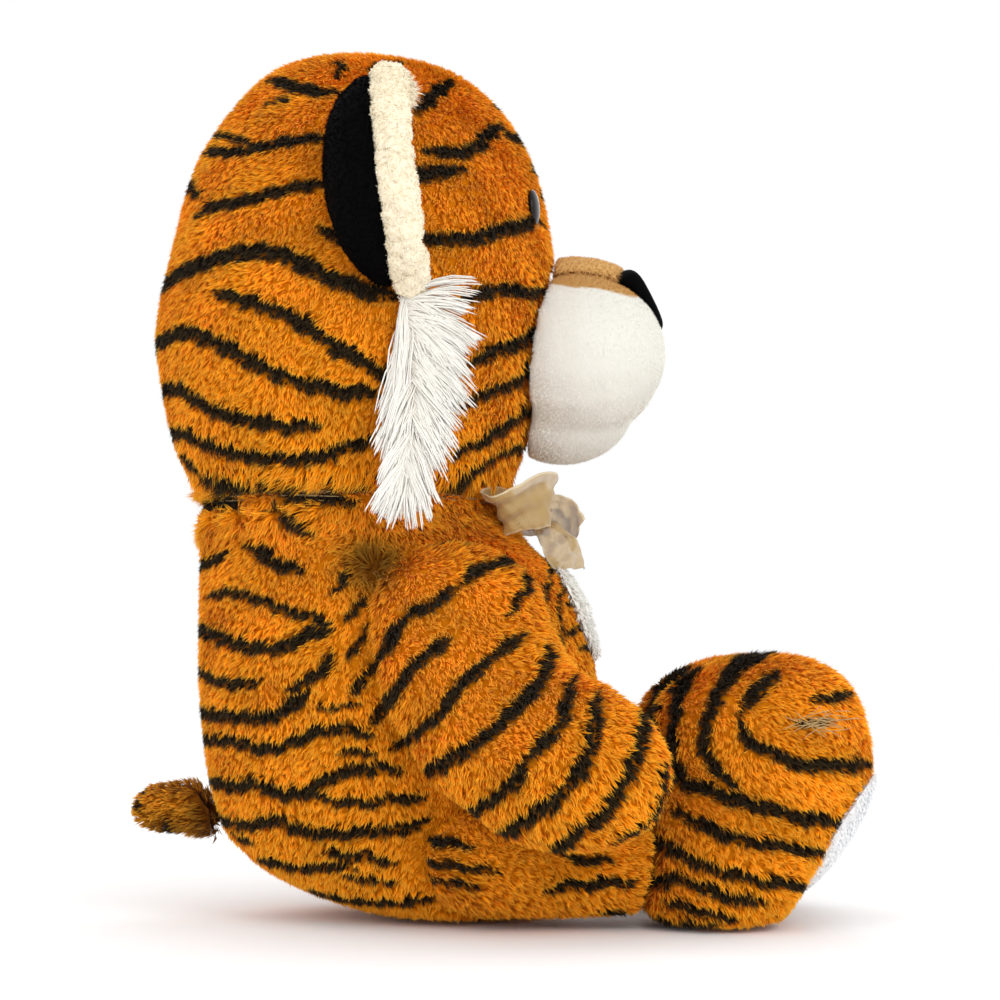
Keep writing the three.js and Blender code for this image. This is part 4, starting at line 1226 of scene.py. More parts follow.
@dataclass
class FurredPiece:
    """A stuffed piece of plush: its sewn skin and the pile on it.

    Attributes:
        name: Name of the finished piece.
        body: Frame body that it moves with.
        nodes: Frame nodes that it stands for.
        slot: Name of the frame's material slot for the piece; not used.
        finish: Finish of the pile.
        pile: Size and habit of the pile.
        pattern: Its stripes.
        neighbours: Frame nodes that press its pile short.
        nap: Direction in which the pile lies.
        fill: How full the piece is stuffed, from 0 to 1; not used.
        voxel: Size of the skin's faces.
        smoothing: Rounds of smoothing of the skin.
        sink: How far the skin lies under the frame's surface, or None for what the pile needs.
        spots: Places where the pile behaves in its own way.
        depth: Where the skin's colour lies between root and tip; a low value paints it dark as shade between
            the fibres.
        rise: How far its top is drawn up, in metres.
        shift: How far all of it is pressed along, in metres.
        fringe: How far its pile reaches in under other covers.
        seed: Seed of its randomness.
    """

    name: str
    body: str
    nodes: tuple[str, ...]
    slot: str
    finish: PileFinish
    pile: Pile
    pattern: StripePattern = StripePattern()
    neighbours: tuple[str, ...] = ()
    nap: tuple[float, float, float] = (0.0, 0.25, -1.0)
    fill: float = 0.8
    voxel: float = 0.005
    smoothing: int = 12
    sink: float | None = None
    spots: tuple[Spot, ...] = ()
    depth: float = 0.3
    rise: float = 0.0
    shift: tuple[float, float, float] = (0.0, 0.0, 0.0)
    fringe: float = 0.009
    seed: int = 1

    def build(self) -> None:
        """Builds the skin and its pile as one piece and hands it to its body."""
        skin = self.shape_skin()
        self.draw_in(skin)
        strands = StrandMesh()
        strands.add_skin(skin, self.darkness(read_places(skin.data)), self.depth)
        grown = self.grow(skin, strands)
        bpy.data.objects.remove(skin)
        made = strands.make(self.name, self.finish)
        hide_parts(*self.nodes)
        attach(made, self.body)
        log.info("%s: %d strands", self.name, grown)

    def shape_skin(self) -> bpy.types.Object:
        """The backing under the pile."""
        inset = self.pile.length * Growth.SINK if self.sink is None else self.sink
        return sewn_skin(self.name + "_skin", self.nodes, inset, self.voxel, self.smoothing)

    def darkness(self, places: np.ndarray) -> np.ndarray:
        """How dark the stripes and shaded spots are at each place, from 0 to 1.

        Args:
            places: N places.

        Returns:
            N values.
        """
        dark = self.pattern.darkness(places)
        for spot in self.spots:
            dark = np.maximum(dark, spot.nearness(places) * spot.shade)
        return dark

    def draw_in(self, skin: bpy.types.Object) -> None:
        """Draws the skin in where it is stitched down, and its top up.

        Args:
            skin: The backing.
        """
        places = read_places(skin.data)
        normals = read_normals(skin.data)
        places += np.array(self.shift)
        low, high = places[:, 2].min(), places[:, 2].max()
        places[:, 2] += self.rise * np.clip(2 * (places[:, 2] - low) / (high - low) - 1, 0, 1)
        for spot in self.spots:
            places -= normals * (spot.nearness(places) * spot.dent)[:, None]
        skin.data.vertices.foreach_set("co", places.ravel())
        skin.data.update()

    def grow(self, skin: bpy.types.Object, strands: StrandMesh) -> int:
        """Grows locks of fibres over the skin.

        Args:
            skin: The backing.
            strands: Where the fibres are collected.

        Returns:
            How many fibres grew.
        """
        pile = self.pile
        rng = np.random.default_rng(self.seed)
        roots, normals = scatter(skin.data, pile.spacing, rng)
        kept = self.unburied(roots, normals)
        roots, normals = roots[kept], normals[kept]
        reach = self.lengths(roots, normals)
        nap = self.combed(roots, normals)
        side = np.cross(normals, nap)
        count, each = len(roots), pile.strands
        tone = rng.normal(0, Growth.LOCK_TONE, count)
        tone += Growth.PATCH_TONE * slow_noise(roots, Growth.PATCH_SIZE, self.seed + 5)
        turn = Growth.SWAY * slow_noise(roots, Growth.SWAY_SIZE, self.seed)
        turn += rng.normal(0, Growth.LOCK_TURN * pile.tangle, count)
        lie = nap * np.cos(turn)[:, None] + side * np.sin(turn)[:, None]
        root, normal, lie, across, along = (np.repeat(v, each, 0) for v in (roots, normals, lie, side, nap))
        total = len(root)
        angle = rng.uniform(0, 2 * math.pi, total)
        radius = pile.spread * np.sqrt(rng.uniform(0, 1, total))
        offset = along * (radius * np.cos(angle))[:, None] + across * (radius * np.sin(angle))[:, None]
        long = (np.repeat(reach, each) * rng.uniform(*Growth.LENGTHS, total))[:, None]
        stray = rng.normal(0, Growth.STRAY * pile.tangle, (total, 3))
        lines = self.fibre_lines(root, offset, normal, lie, long, stray)
        roll = rng.normal(0, Growth.ROLL, total)
        wide = np.cross(normal, lie) * np.cos(roll)[:, None] + normal * np.sin(roll)[:, None]
        size = pile.thickness * rng.uniform(*Growth.SIZES, total)
        fibre_tone = np.repeat(tone, each) + rng.normal(0, Growth.FIBRE_TONE, total)
        strands.add_fibres(lines, unit(wide), size, self.darkness(root + offset), fibre_tone)
        return total

    def lengths(self, roots: np.ndarray, normals: np.ndarray) -> np.ndarray:
        """How long the pile is at each root, by its neighbours, its spots and the floor.

        Args:
            roots: N places on the skin.
            normals: The skin's normals there.

        Returns:
            N lengths.
        """
        whole = self.pile.length
        room = Neighbours(self.neighbours).room(roots, whole * Growth.ROOM_REACH)
        reach = np.clip(room * Growth.ROOM_USED, whole * Growth.LEAST, whole)
        for spot in self.spots:
            reach *= 1 + spot.nearness(roots) * spot.longer
        over_floor = np.maximum(roots[:, 2] - Growth.FLOOR_GAP, Growth.SHORTEST)
        return np.where(normals[:, 2] < Growth.DOWNWARD, np.minimum(reach, over_floor), reach)

    def combed(self, roots: np.ndarray, normals: np.ndarray) -> np.ndarray:
        """The direction of the nap at each root, turned by the spots with a whorl.

        Args:
            roots: N places on the skin.
            normals: The skin's normals there.

        Returns:
            N directions in the skin's surface.
        """
        nap = unit(self.upright(np.tile(np.array(self.nap), (len(roots), 1)), normals))
        for spot in self.spots:
            pull = (spot.nearness(roots) * spot.whorl)[:, None]
            out = unit(self.upright(roots - np.array(spot.place) * MM, normals))
            nap = unit(nap * (1 - pull) + out * pull)
        return nap

    def fibre_lines(
        self, root: np.ndarray, offset: np.ndarray, normal: np.ndarray, lie: np.ndarray, long: np.ndarray,
        stray: np.ndarray,
    ) -> np.ndarray:
        """The lines of all fibres.

        Args:
            root: The place where each fibre's lock grows.
            offset: How far the fibre stands from the lock's middle.
            normal: The skin's normal there.
            lie: The direction in which the lock lies.
            long: Length of the fibre.
            stray: How the fibre strays from its lock.

        Returns:
            An array of lines of three places, or of two where the pile is straight.
        """
        lean, gather = self.pile.lean, self.pile.gather
        start = root + offset - normal * self.pile.thickness
        lower = unit(normal + lie * lean * Growth.LOWER_LEAN + stray)
        middle = start + lower * long * Growth.LOWER - offset * gather * Growth.LOWER_GATHER
        upper = unit(normal * Growth.UPPER_RISE + lie * lean + stray * Growth.UPPER_STRAY)
        tip = middle + upper * long * Growth.UPPER - offset * gather * Growth.UPPER_GATHER
        return np.stack([start, middle, tip] if self.pile.bent else [start, tip], axis=1)

    def unburied(self, roots: np.ndarray, normals: np.ndarray) -> np.ndarray:
        """Which roots are free or near the edge of where another cover lies on this one.

        Args:
            roots: N places on the skin.
            normals: The skin's normals there.

        Returns:
            N truth values.
        """
        reach = self.pile.length * Growth.COVERED + Growth.COVER_GAP
        buried = Neighbours.covers_but(self.nodes).over(roots, normals, reach)
        free = np.nonzero(~buried)[0]
        tree = KDTree(len(free))
        for k in free:
            tree.insert(Vector(roots[k]), int(k))
        tree.balance()
        for k in np.nonzero(buried)[0]:
            buried[k] = tree.find(Vector(roots[k]))[2] > self.fringe
        return ~buried

    @staticmethod
    def upright(vectors: np.ndarray, normals: np.ndarray) -> np.ndarray:
        """The part of each vector that lies in the surface."""
        return vectors - normals * np.sum(vectors * normals, axis=1, keepdims=True)


def scatter(
    mesh: bpy.types.Mesh, spacing: float, rng: np.random.Generator
) -> tuple[np.ndarray, np.ndarray]:
    """Random places spread evenly over a mesh.

    Args:
        mesh: The surface.
        spacing: Mean distance between places.
        rng: The source of randomness.

    Returns:
        The places and the surface's normals there.
    """
    mesh.calc_loop_triangles()
    corners = np.zeros(len(mesh.loop_triangles) * 3, np.int64)
    mesh.loop_triangles.foreach_get("vertices", corners)
    corners = corners.reshape(-1, 3)
    places = read_places(mesh)
    normals = read_normals(mesh)
    a, b, c = (places[corners[:, k]] for k in range(3))
    areas = np.linalg.norm(np.cross(b - a, c - a), axis=1) / 2
    count = int(areas.sum() / spacing**2)
    edges = np.cumsum(areas) / areas.sum()
    picks = np.searchsorted(edges, (np.arange(count) + rng.uniform(0, 1, count)) / count)
    picks = np.clip(picks, 0, len(areas) - 1)
    u = np.sqrt(rng.uniform(0, 1, count))[:, None]
    v = rng.uniform(0, 1, count)[:, None]
    shares = (1 - u, u * (1 - v), u * v)
    place = sum(share * places[corners[picks, k]] for k, share in enumerate(shares))
    normal = sum(share * normals[corners[picks, k]] for k, share in enumerate(shares))
    return place, unit(normal)


# Head


class Head:
    """The head: plush cover, muzzle, nose, eyes and cheek tufts."""

    BODY = "head"

    def build(self) -> None:
        """Builds all the pieces that turn with the neck."""
        self.cover()
        self.muzzle()
        self.nose()
        for side in Side:
            Eye(side).build()
            CheekTuft(side).build()

    def cover(self) -> None:
        """The striped cover of the head."""
        FurredPiece(
            "head_fur", self.BODY, ("head_cover", "head_stuffing"), "tiger_plush", Finishes.TIGER, LONG_PILE,
            HEAD_STRIPES,
            neighbours=("right_ear_back", "left_ear_back", "right_ear_binding", "left_ear_binding"),
            fringe=0.003,
            nap=(0.0, 0.45, -1.0), smoothing=16, seed=11,
            spots=(
                Spot((0, 100, 296), (900, 900, 9), longer=1.5),
                *(Spot((-66, -36, 375), (26, 14, 60), longer=0.8).on(side) for side in Side),
                *(Spot((-43, -30, 490), (17, 30, 17), longer=-0.72).on(side) for side in Side),
            ),
        ).build()

    def muzzle(self) -> None:
        """The white two-lobed muzzle over its chin."""
        FurredPiece(
            "muzzle_plush", self.BODY, ("muzzle_cover", "muzzle_stuffing"), "white_plush", Finishes.MUZZLE,
            SHORT_PILE, MUZZLE_TAN, neighbours=("nose",), nap=(0.0, 0.6, -0.6), voxel=0.003, smoothing=14,
            sink=0.0006, depth=0.5, seed=12,
        ).build()

    def nose(self) -> None:
        """The velour nose and the tan bridge behind it."""
        FurredPiece(
            "nose_velour", self.BODY, ("nose",), "black_velour", Finishes.BLACK, VELOUR_PILE,
            nap=(0.0, 0.5, -1.0), voxel=0.002, smoothing=6, sink=-0.0004, depth=0.5, seed=13,
        ).build()
        FurredPiece(
            "bridge_velour", self.BODY, ("nose_bridge",), "tan_velour", Finishes.TAN, SHORT_PILE,
            nap=(0.0, -0.4, -0.8), voxel=0.002, smoothing=10, sink=0.0003, depth=0.5, seed=14,
            spots=(Spot((0, -62, 443), (90, 60, 7), longer=1.8),),
        ).build()


@dataclass
class Eye:
    """A glossy dark safety eye set into the fur.

    Attributes:
        side: The side that it is on.
        radius: Radius of the domed head.
        dome: Height of the dome over its rim.
        outward: How far it looks to its side, as a share of straight ahead.
        upward: How far it looks up.
        set_back: How far its middle lies behind the frame's.
    """

    side: Side
    radius: float = 0.0125
    dome: float = 0.0042
    outward: float = 0.16
    upward: float = 0.06
    set_back: float = 0.0022

    def build(self) -> None:
        """Builds the domed head where the frame holds the eye."""
        node = f"{self.side.word}_eye"
        low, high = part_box(node)
        middle = (low + high) / 2
        aim = Vector((self.outward * self.side.value, -1.0, self.upward)).normalized()
        bpy.ops.object.select_all(action="DESELECT")
        bpy.ops.mesh.primitive_uv_sphere_add(segments=40, ring_count=24, radius=self.radius)
        made = bpy.context.active_object
        made.name = f"{self.side.word}_eye_dome"
        made.data.transform(Matrix.Diagonal((1, 1, self.dome / self.radius, 1)))
        turn = aim.to_track_quat("Z", "Y").to_matrix().to_4x4()
        made.data.transform(Matrix.Translation(middle - aim * self.set_back) @ turn)
        bpy.ops.object.shade_smooth()
        made.data.materials.append(Finishes.EYE.material())
        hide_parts(node)
        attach(made, Head.BODY)
        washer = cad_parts[f"{self.side.word}_eye_washer"]
        washer.material_slots[0].link = "OBJECT"
        washer.material_slots[0].material = Finishes.WASHER.material()
        log.info("%s built", made.name)


@dataclass
class CheekTuft:
    """White yarn in feathered locks, sewn along a seam that runs down from under the ear.

    Attributes:
        side: The side that it is on.
        locks: How many locks the tuft has.
        strands: Strands in a lock.
        thickness: Thickness of the yarn.
        seam: The seam's places, as Y and Z in millimetres, from the ear down.
        AHEAD: Degrees to which the locks fan forward, at shares of the way down the seam.
        BEHIND: Degrees to which they fan back.
        MIDWAY: Degrees at which the forward ones begin.
        LENGTHS: Their lengths in millimetres.
        OUTWARD: Where the seam lies across, on the right side.
        STEPS: Shares of a strand's length at which it has a place.
        RADIUS_SHARES: Thickness at these places but the last, which is the tip.
        FORWARD_SHARE: Share of the locks that lie forward.
        DEPTH: How far the locks lie over one another.
        LOOSE: How far the strands of one lock do.
        FAN: How far these strands spread, in radians.
        WAVE: How far they wave.
        LIFT: How far forward strands lie nearer the head, which narrows there.
        LIFT_FROM: How far forward they do so in full.
    """

    AHEAD = ((0.0, 138), (0.05, 120), (0.2, 84), (0.4, 60), (0.7, 44), (1.0, 30))
    BEHIND = ((0.0, -2), (0.2, -22), (0.4, -34), (0.7, -40), (1.0, -44))
    MIDWAY = ((0.0, 12), (1.0, -10))
    LENGTHS = ((0.0, 46), (0.2, 53), (0.5, 43), (1.0, 38))
    OUTWARD = ((0.0, -0.1455), (1.0, -0.1425))
    STEPS = (0.0, 0.22, 0.45, 0.7, 0.94, 1.0)
    RADIUS_SHARES = (0.8, 1.0, 1.0, 0.95, 0.8)
    FORWARD_SHARE = 0.6
    DEPTH = 0.006
    LOOSE = 0.002
    FAN = 0.09
    WAVE = 0.0010
    LIFT = 0.011
    LIFT_FROM = 0.05

    side: Side
    locks: int = 240
    strands: int = 10
    thickness: float = 0.0012
    seam: tuple[tuple[float, float], ...] = ((60, 409), (57, 380), (55, 345), (57, 318), (60, 296))

    def build(self) -> None:
        """Lays the locks along the seam, the upper ones fanned forward."""
        rng = np.random.default_rng(31 + self.side.value)
        share = rng.uniform(0, 1, self.locks) ** 1.25
        forward = rng.uniform(0, 1, self.locks) < self.FORWARD_SHARE
        ahead, behind, midway = (read_table(share, table) for table in (self.AHEAD, self.BEHIND, self.MIDWAY))
        ahead = midway + (ahead - midway) * rng.uniform(0.25, 1, self.locks)
        behind = behind * rng.uniform(0.1, 1, self.locks)
        angle = np.where(forward, ahead, behind)
        length = read_table(share, self.LENGTHS) * rng.uniform(0.8, 1.08, self.locks)
        lines = self.lay(rng, share, np.radians(angle), length * MM)
        tone = np.repeat(np.clip(rng.normal(0, 0.6, self.locks), -1, 1), self.strands)
        radii = np.tile(self.thickness / 2 * np.array(self.RADIUS_SHARES), (len(lines), 1))
        mesh = StrandMesh()
        mesh.add_strands(lines, radii, np.zeros(len(lines)), tone)
        made = mesh.make(f"{self.side.word}_cheek_yarn", Finishes.YARN)
        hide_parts(f"{self.side.word}_cheek_tuft")
        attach(made, Head.BODY)
        log.info("%s: %d strands", made.name, len(lines))

    def lay(
        self, rng: np.random.Generator, share: np.ndarray, angle: np.ndarray, length: np.ndarray
    ) -> np.ndarray:
        """The lines of all strands, over the head where it is wide and hanging free below.

        Args:
            rng: The source of randomness.
            share: Where on the seam each lock starts.
            angle: How far each lock points forward from straight down.
            length: Length of each lock.

        Returns:
            An array of lines, with a place for each of the steps.
        """
        seam = np.array(self.seam) * MM
        at = np.linspace(0, 1, len(seam))
        each = self.strands
        total = self.locks * each
        share, angle, length = (np.repeat(v, each) for v in (share, angle, length))
        share = np.clip(share + rng.normal(0, 0.012, total), 0, 1)
        y0 = np.interp(share, at, seam[:, 0]) + rng.normal(0, 0.0016, total)
        z0 = np.interp(share, at, seam[:, 1])
        fan = rng.normal(0, self.FAN, total)
        length = length * rng.uniform(0.86, 1.05, total)
        layer = np.repeat(rng.uniform(0, 1, self.locks), each) * self.DEPTH
        layer += rng.uniform(0, self.LOOSE, total)
        wave = np.repeat(rng.uniform(0, 2 * math.pi, self.locks), each)
        lines = np.zeros((total, len(self.STEPS), 3))
        out = read_table(share, self.OUTWARD)
        for step, t in enumerate(self.STEPS):
            bend = angle * (1 - 0.16 * t) + fan * (1 - 0.7 * t)
            lines[:, step, 1] = y0 - np.sin(bend) * length * t + self.WAVE * np.sin(wave + 5 * t)
            lines[:, step, 2] = z0 - np.cos(bend) * length * t
            ahead = np.clip((y0 - lines[:, step, 1]) / self.LIFT_FROM, 0, 1)
            arch = layer * math.sin(math.pi * (0.15 + 0.75 * t))
            lines[:, step, 0] = out - arch + self.LIFT * ahead**2
        if self.side is Side.LEFT:
            lines[:, :, 0] *= -1
        return lines


@dataclass
class Ear:
    """A cupped ear: black velour back, white lining and a nubbly cream roll.

    Attributes:
        side: The side that it is on.
    """

    side: Side

    def build(self) -> None:
        """Builds the three sewn pieces of the ear."""
        word = self.side.word
        body = f"{word}_ear"
        FurredPiece(
            f"{word}_ear_velour", body, (f"{word}_ear_back",), "black_velour", Finishes.BLACK, EAR_PILE,
            voxel=0.0022, smoothing=4, sink=0.0003, depth=0.4, rise=0.008, seed=41, fill=0.4,
        ).build()
        FurredPiece(
            f"{word}_ear_plush", body, (f"{word}_ear_lining",), "white_plush", Finishes.WHITE, VELOUR_PILE,
            voxel=0.0022, smoothing=4, sink=0.0003, depth=0.5, rise=0.006, seed=42, fill=0.4,
        ).build()
        Binding(
            f"{word}_ear_chenille", body, (f"{word}_ear_binding",), "cream_chenille", Finishes.CREAM,
            CHENILLE_PILE, nap=(0.0, -1.0, -0.8), voxel=0.0022, smoothing=4, depth=0.4, rise=0.006, seed=43,
            fill=0.7, spots=(Spot((-118, 50, 543), (18, 16, 20), longer=5.5).on(self.side),),
        ).build()


@dataclass
class Binding(FurredPiece):
    """The ear's chenille roll, whose skin is a row of soft nubs.

    Attributes:
        nub_size: Size of a nub.
        nub_height: How far the nubs stand out.
        nub_level: The brightness of the nubs' pattern that leaves the skin where it is.
        depth_under: How far the plain roll lies under the frame's surface.
    """

    nub_size: float = 0.0100
    nub_height: float = 0.0052
    nub_level: float = 0.6
    depth_under: float = 0.0010

    def shape_skin(self) -> bpy.types.Object:
        """The roll with its nubs raised.

        Returns:
            The skin as one closed mesh.
        """
        skin = sewn_skin(self.name + "_skin", self.nodes, self.depth_under, self.voxel, self.smoothing)
        nubs = bpy.data.textures.new("nubs", "VORONOI")
        nubs.noise_scale = self.nub_size
        nubs.distance_metric = "DISTANCE_SQUARED"
        apply_modifier(
            skin, "DISPLACE", strength=-self.nub_height, mid_level=self.nub_level, texture=nubs,
            texture_coords="LOCAL",
        )
        return skin


# Trunk


# Its shade value is painted shade, dark where the fur parts at the shoulder by the arm's seam.
SHOULDER_WHORL = Spot((-122, 81, 239), (28, 19, 18), whorl=0.95, dent=0.003, longer=0.9, shade=0.92)


class Trunk:
    """The body with its chest patch and the ribbon round the neck."""

    BODY = "trunk"

    def build(self) -> None:
        """Builds the pieces that stay with the seat."""
        FurredPiece(
            "body_fur", self.BODY, ("body_cover", "body_stuffing", "pellet_bag"), "tiger_plush",
            Finishes.TIGER, LONG_PILE, TRUNK_STRIPES,
            neighbours=("right_arm_cover", "left_arm_cover", "right_leg_cover", "left_leg_cover"),
            nap=(0.0, 0.1, -1.0), smoothing=14, fringe=0.016, seed=21,
            spots=(
                Spot((0, 100, 269), (900, 900, 10), whorl=1.0, longer=1.0),
                Spot((0, -58, 213), (50, 70, 46), longer=-0.9),
                *(SHOULDER_WHORL.on(side) for side in Side),
            ),
        ).build()
        FurredPiece(
            "chest_plush", self.BODY, ("chest_patch",), "white_plush", Finishes.WHITE, CHEST_PILE,
            nap=(0.0, -0.2, -1.0), voxel=0.0016, smoothing=5, sink=0.0003, depth=0.5, seed=22, fill=0.4,
            shift=(0.0, 0.0036, 0.0),
        ).build()
        Bow().build()


@dataclass(frozen=True)
class RibbonPath:
    """How one length of ribbon lies, in millimetres.

    Attributes:
        line: Places along its middle.
        rise: Directions of its width at those places.
        widths: Its width at those places.
        cut: How much longer one edge is at the far end, as a share of the length.
    """

    line: tuple[tuple[float, float, float], ...]
    rise: tuple[tuple[float, float, float], ...]
    widths: tuple[float, ...]
    cut: float = 0.0

    def mirrored(self) -> "RibbonPath":
        """The same path on the toy's left side."""
        flip = [tuple((-x, y, z) for x, y, z in table) for table in (self.line, self.rise)]
        return RibbonPath(flip[0], flip[1], self.widths, self.cut)

    def sample(self, share: np.ndarray) -> tuple[np.ndarray, np.ndarray, np.ndarray]:
        """The middle line, the width's direction and the width at shares of the way.

        Args:
            share: N shares from 0 to 1.

        Returns:
            N places in metres, N directions and N widths in metres.
        """
        table = np.column_stack([np.array(self.line), np.array(self.rise), np.array(self.widths)])
        last = len(table) - 1
        at = np.clip(share, 0, 1) * last
        k = np.clip(at.astype(int), 0, last - 1)
        t = (at - k)[:, None]
        a, b, c, d = (table[np.clip(k + step, 0, last)] for step in (-1, 0, 1, 2))
        bend = 2 * a - 5 * b + 4 * c - d
        twist = 3 * b - a - 3 * c + d
        row = 0.5 * (2 * b + (c - a) * t + bend * t**2 + twist * t**3)
        return row[:, :3] * MM, unit(row[:, 3:6]), row[:, 6] * MM


LOOP_PATH = RibbonPath(
    line=(
        (-5, -26, 282), (-18, -34, 285), (-34, -36, 287), (-50, -30, 286), (-61, -18, 281), (-66, -5, 277),
        (-59, 2, 277), (-42, -4, 281), (-24, -11, 282), (-5, -17, 282),
    ),
    rise=(
        (0, 0, 1), (0, -0.1, 1), (-0.05, -0.1, 1), (-0.25, 0.1, 1), (-0.6, 0.3, 0.8), (-0.75, 0.4, 0.6),
        (-0.5, 0.5, 0.8), (-0.2, 0.4, 1), (0, 0.1, 1), (0, 0, 1),
    ),
    widths=(15, 26, 36, 38, 38, 37, 37, 33, 25, 15),
)
NEAR_END_PATH = RibbonPath(
    line=((-3, -27, 277), (-9, -37, 269), (-14, -45, 258), (-17, -50, 247), (-19, -53, 237)),
    rise=((0.5, -0.7, 0.2), (0.65, -0.7, 0.3), (0.75, -0.65, 0.3), (0.8, -0.6, 0.3), (0.85, -0.6, 0.25)),
    widths=(14, 26, 36, 38, 38),
    cut=0.22,
)
FAR_END_PATH = RibbonPath(
    line=((3, -27, 283), (7, -38, 282), (12, -47, 278), (18, -53, 270), (24, -56, 259)),
    rise=((-0.3, -0.2, 1), (-0.5, -0.3, 1), (-0.7, -0.4, 0.8), (-0.9, -0.3, 0.5), (-1, -0.2, 0.3)),
    widths=(13, 22, 30, 35, 37),
    cut=-0.2,
)


class Bow:
    """The sheer ribbon round the neck and its bow: band, knot, two loops and two ends.

    Attributes:
        FULL_WIDTH: Width of the flat ribbon.
        THICKNESS: Thickness of the weave.
        BAND_LENGTH: Length of flat ribbon in the band, and so on for knot, loops and ends.
        NECK: The neck's middle, as X and Y.
        NECK_RADIUS: How far round the neck the band lies.
        HEIGHT: Height of band and knot.
        GATHERED: Width of the gathered band.
        KNOT_Y: Where the knot's middle lies.
        KNOT_WIDTH: Width of the knot across.
        KNOT_REACH: Half the width at which the knot's curve would close.
        KNOT_DEPTH: Radius of the knot from front to back.
        KNOT_RISE: Radius of the knot up and down.
        PLEAT: Height of the pleats where a loop or end is gathered to nothing.
        CREASE: Height of its slant creases.
        WAVE: Height of its long waves.
        CRINKLE: Height of its fine crinkles.
        CRINKLE_SIZE: Size of the fine crinkles.
        CUP: How far its edges curl over.
    """

    FULL_WIDTH = 0.038
    THICKNESS = 0.0003
    BAND_LENGTH = 0.655
    KNOT_LENGTH = 0.062
    LOOP_LENGTH = 0.150
    END_LENGTH = 0.058

    NECK = (0.0, 0.1016)
    NECK_RADIUS = 0.1000
    HEIGHT = 0.2815
    GATHERED = 0.0135

    KNOT_Y = -0.0213
    KNOT_WIDTH = 0.026
    KNOT_REACH = 0.0165
    KNOT_DEPTH = 0.0112
    KNOT_RISE = 0.0122

    PLEAT = 0.0042
    CREASE = 0.0018
    WAVE = 0.0012
    CRINKLE = 0.0009
    CRINKLE_SIZE = 0.005
    CUP = 0.0030

    def build(self) -> None:
        """Builds the six pieces of ribbon."""
        self.band()
        self.knot()
        self.length("right_loop_ribbon", "right_bow_loop", LOOP_PATH, 3, self.LOOP_LENGTH)
        self.length("left_loop_ribbon", "left_bow_loop", LOOP_PATH.mirrored(), 4, self.LOOP_LENGTH)
        self.length("right_end_ribbon", "right_bow_end", NEAR_END_PATH, 5, self.END_LENGTH)
        self.length("left_end_ribbon", "left_bow_end", FAR_END_PATH, 6, self.END_LENGTH)

    def grid(self, name: str, along: int, across: int) -> tuple[bpy.types.Object, np.ndarray, np.ndarray]:
        """A flat grid whose places are shares along and across a ribbon.

        Args:
            name: Name of the new object.
            along: Faces along it.
            across: Faces across it.

        Returns:
            The grid, and at each vertex its share of the way along and across.
        """
        bpy.ops.object.select_all(action="DESELECT")
        bpy.ops.mesh.primitive_grid_add(x_subdivisions=along, y_subdivisions=across, size=1, calc_uvs=True)
        made = bpy.context.active_object
        made.name = name
        places = read_places(made.data)
        return made, places[:, 0] + 0.5, places[:, 1] + 0.5

    def finish(
        self, made: bpy.types.Object, places: np.ndarray, node: str, finish: SheerFinish, long: float,
        held: str,
    ) -> None:
        """Sets the places, gives the weave its thickness and hands the piece over.

        Args:
            made: The flat grid.
            places: Where its vertices go.
            node: Frame node that it stands for.
            finish: Its finish.
            long: Length of the flat ribbon; not used.
            held: How it is held; not used.
        """
        made.data.vertices.foreach_set("co", places.ravel())
        made.data.update()
        bpy.ops.object.shade_smooth()
        apply_modifier(made, "SOLIDIFY", thickness=self.THICKNESS, offset=0.0)
        made.data.materials.append(finish.material())
        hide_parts(node)
        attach(made, Trunk.BODY)
        log.info("%s built", made.name)

    def length(self, name: str, node: str, path: RibbonPath, seed: int, long: float) -> None:
        """One loop or end, gathered into pleats where it is narrow.

        Args:
            name: Name of the piece.
            node: Frame node that it stands for.
            path: How it lies.
            seed: Seed of its crinkles.
            long: Length of ribbon in it.
        """
        made, share, side = self.grid(name, 72, 22)
        cut = 1 + path.cut * (side - 0.5) * np.clip(share * 2 - 1, 0, 1)
        reach = share * cut * (1 - abs(path.cut) / 2)
        middle, rise, width = path.sample(reach)
        ahead = path.sample(reach + 0.01)[0] - path.sample(reach - 0.01)[0]
        out = unit(np.cross(unit(ahead), rise))
        gathered = 1 - width / self.FULL_WIDTH
        pleat = self.PLEAT * gathered * np.sin(2 * math.pi * 3.5 * side + seed + 2.2 * share)
        crease = self.CREASE * np.sin(23 * share + 4 * side + seed) * np.sin(math.pi * side)
        crease += self.WAVE * np.sin(2 * math.pi * 2.5 * side + 7 * share)
        flat = np.stack([share * long, side * self.FULL_WIDTH, share * 0], axis=1)
        crinkle = self.CRINKLE * slow_noise(flat, self.CRINKLE_SIZE, seed)
        cup = -self.CUP * (4 * (side - 0.5) ** 2)
        places = middle + rise * (width * (side - 0.5))[:, None]
        places += out * (pleat + crease + crinkle + cup)[:, None]
        self.finish(made, places, node, Finishes.RIBBON, long, "gathered")

    def band(self) -> None:
        """The band, drawn together in the crease of the neck under the fur."""
        made, share, side = self.grid("neck_band_ribbon", 168, 44)
        turn = 2 * math.pi * share - math.pi / 2
        fold = 0.0017 * np.sin(2 * math.pi * 4.5 * side + 0.6 * np.sin(5 * turn))
        radius = self.NECK_RADIUS + fold + 0.0004 * np.sin(9 * turn)
        x = self.NECK[0] + radius * np.cos(turn)
        y = self.NECK[1] + radius * np.sin(turn)
        z = self.HEIGHT + self.GATHERED * (side - 0.5) + 0.0009 * np.sin(7 * turn + 1)
        places = np.stack([x, y, z], axis=1)
        self.finish(made, places, "neck_ribbon", Finishes.RIBBON, self.BAND_LENGTH, "gathered")

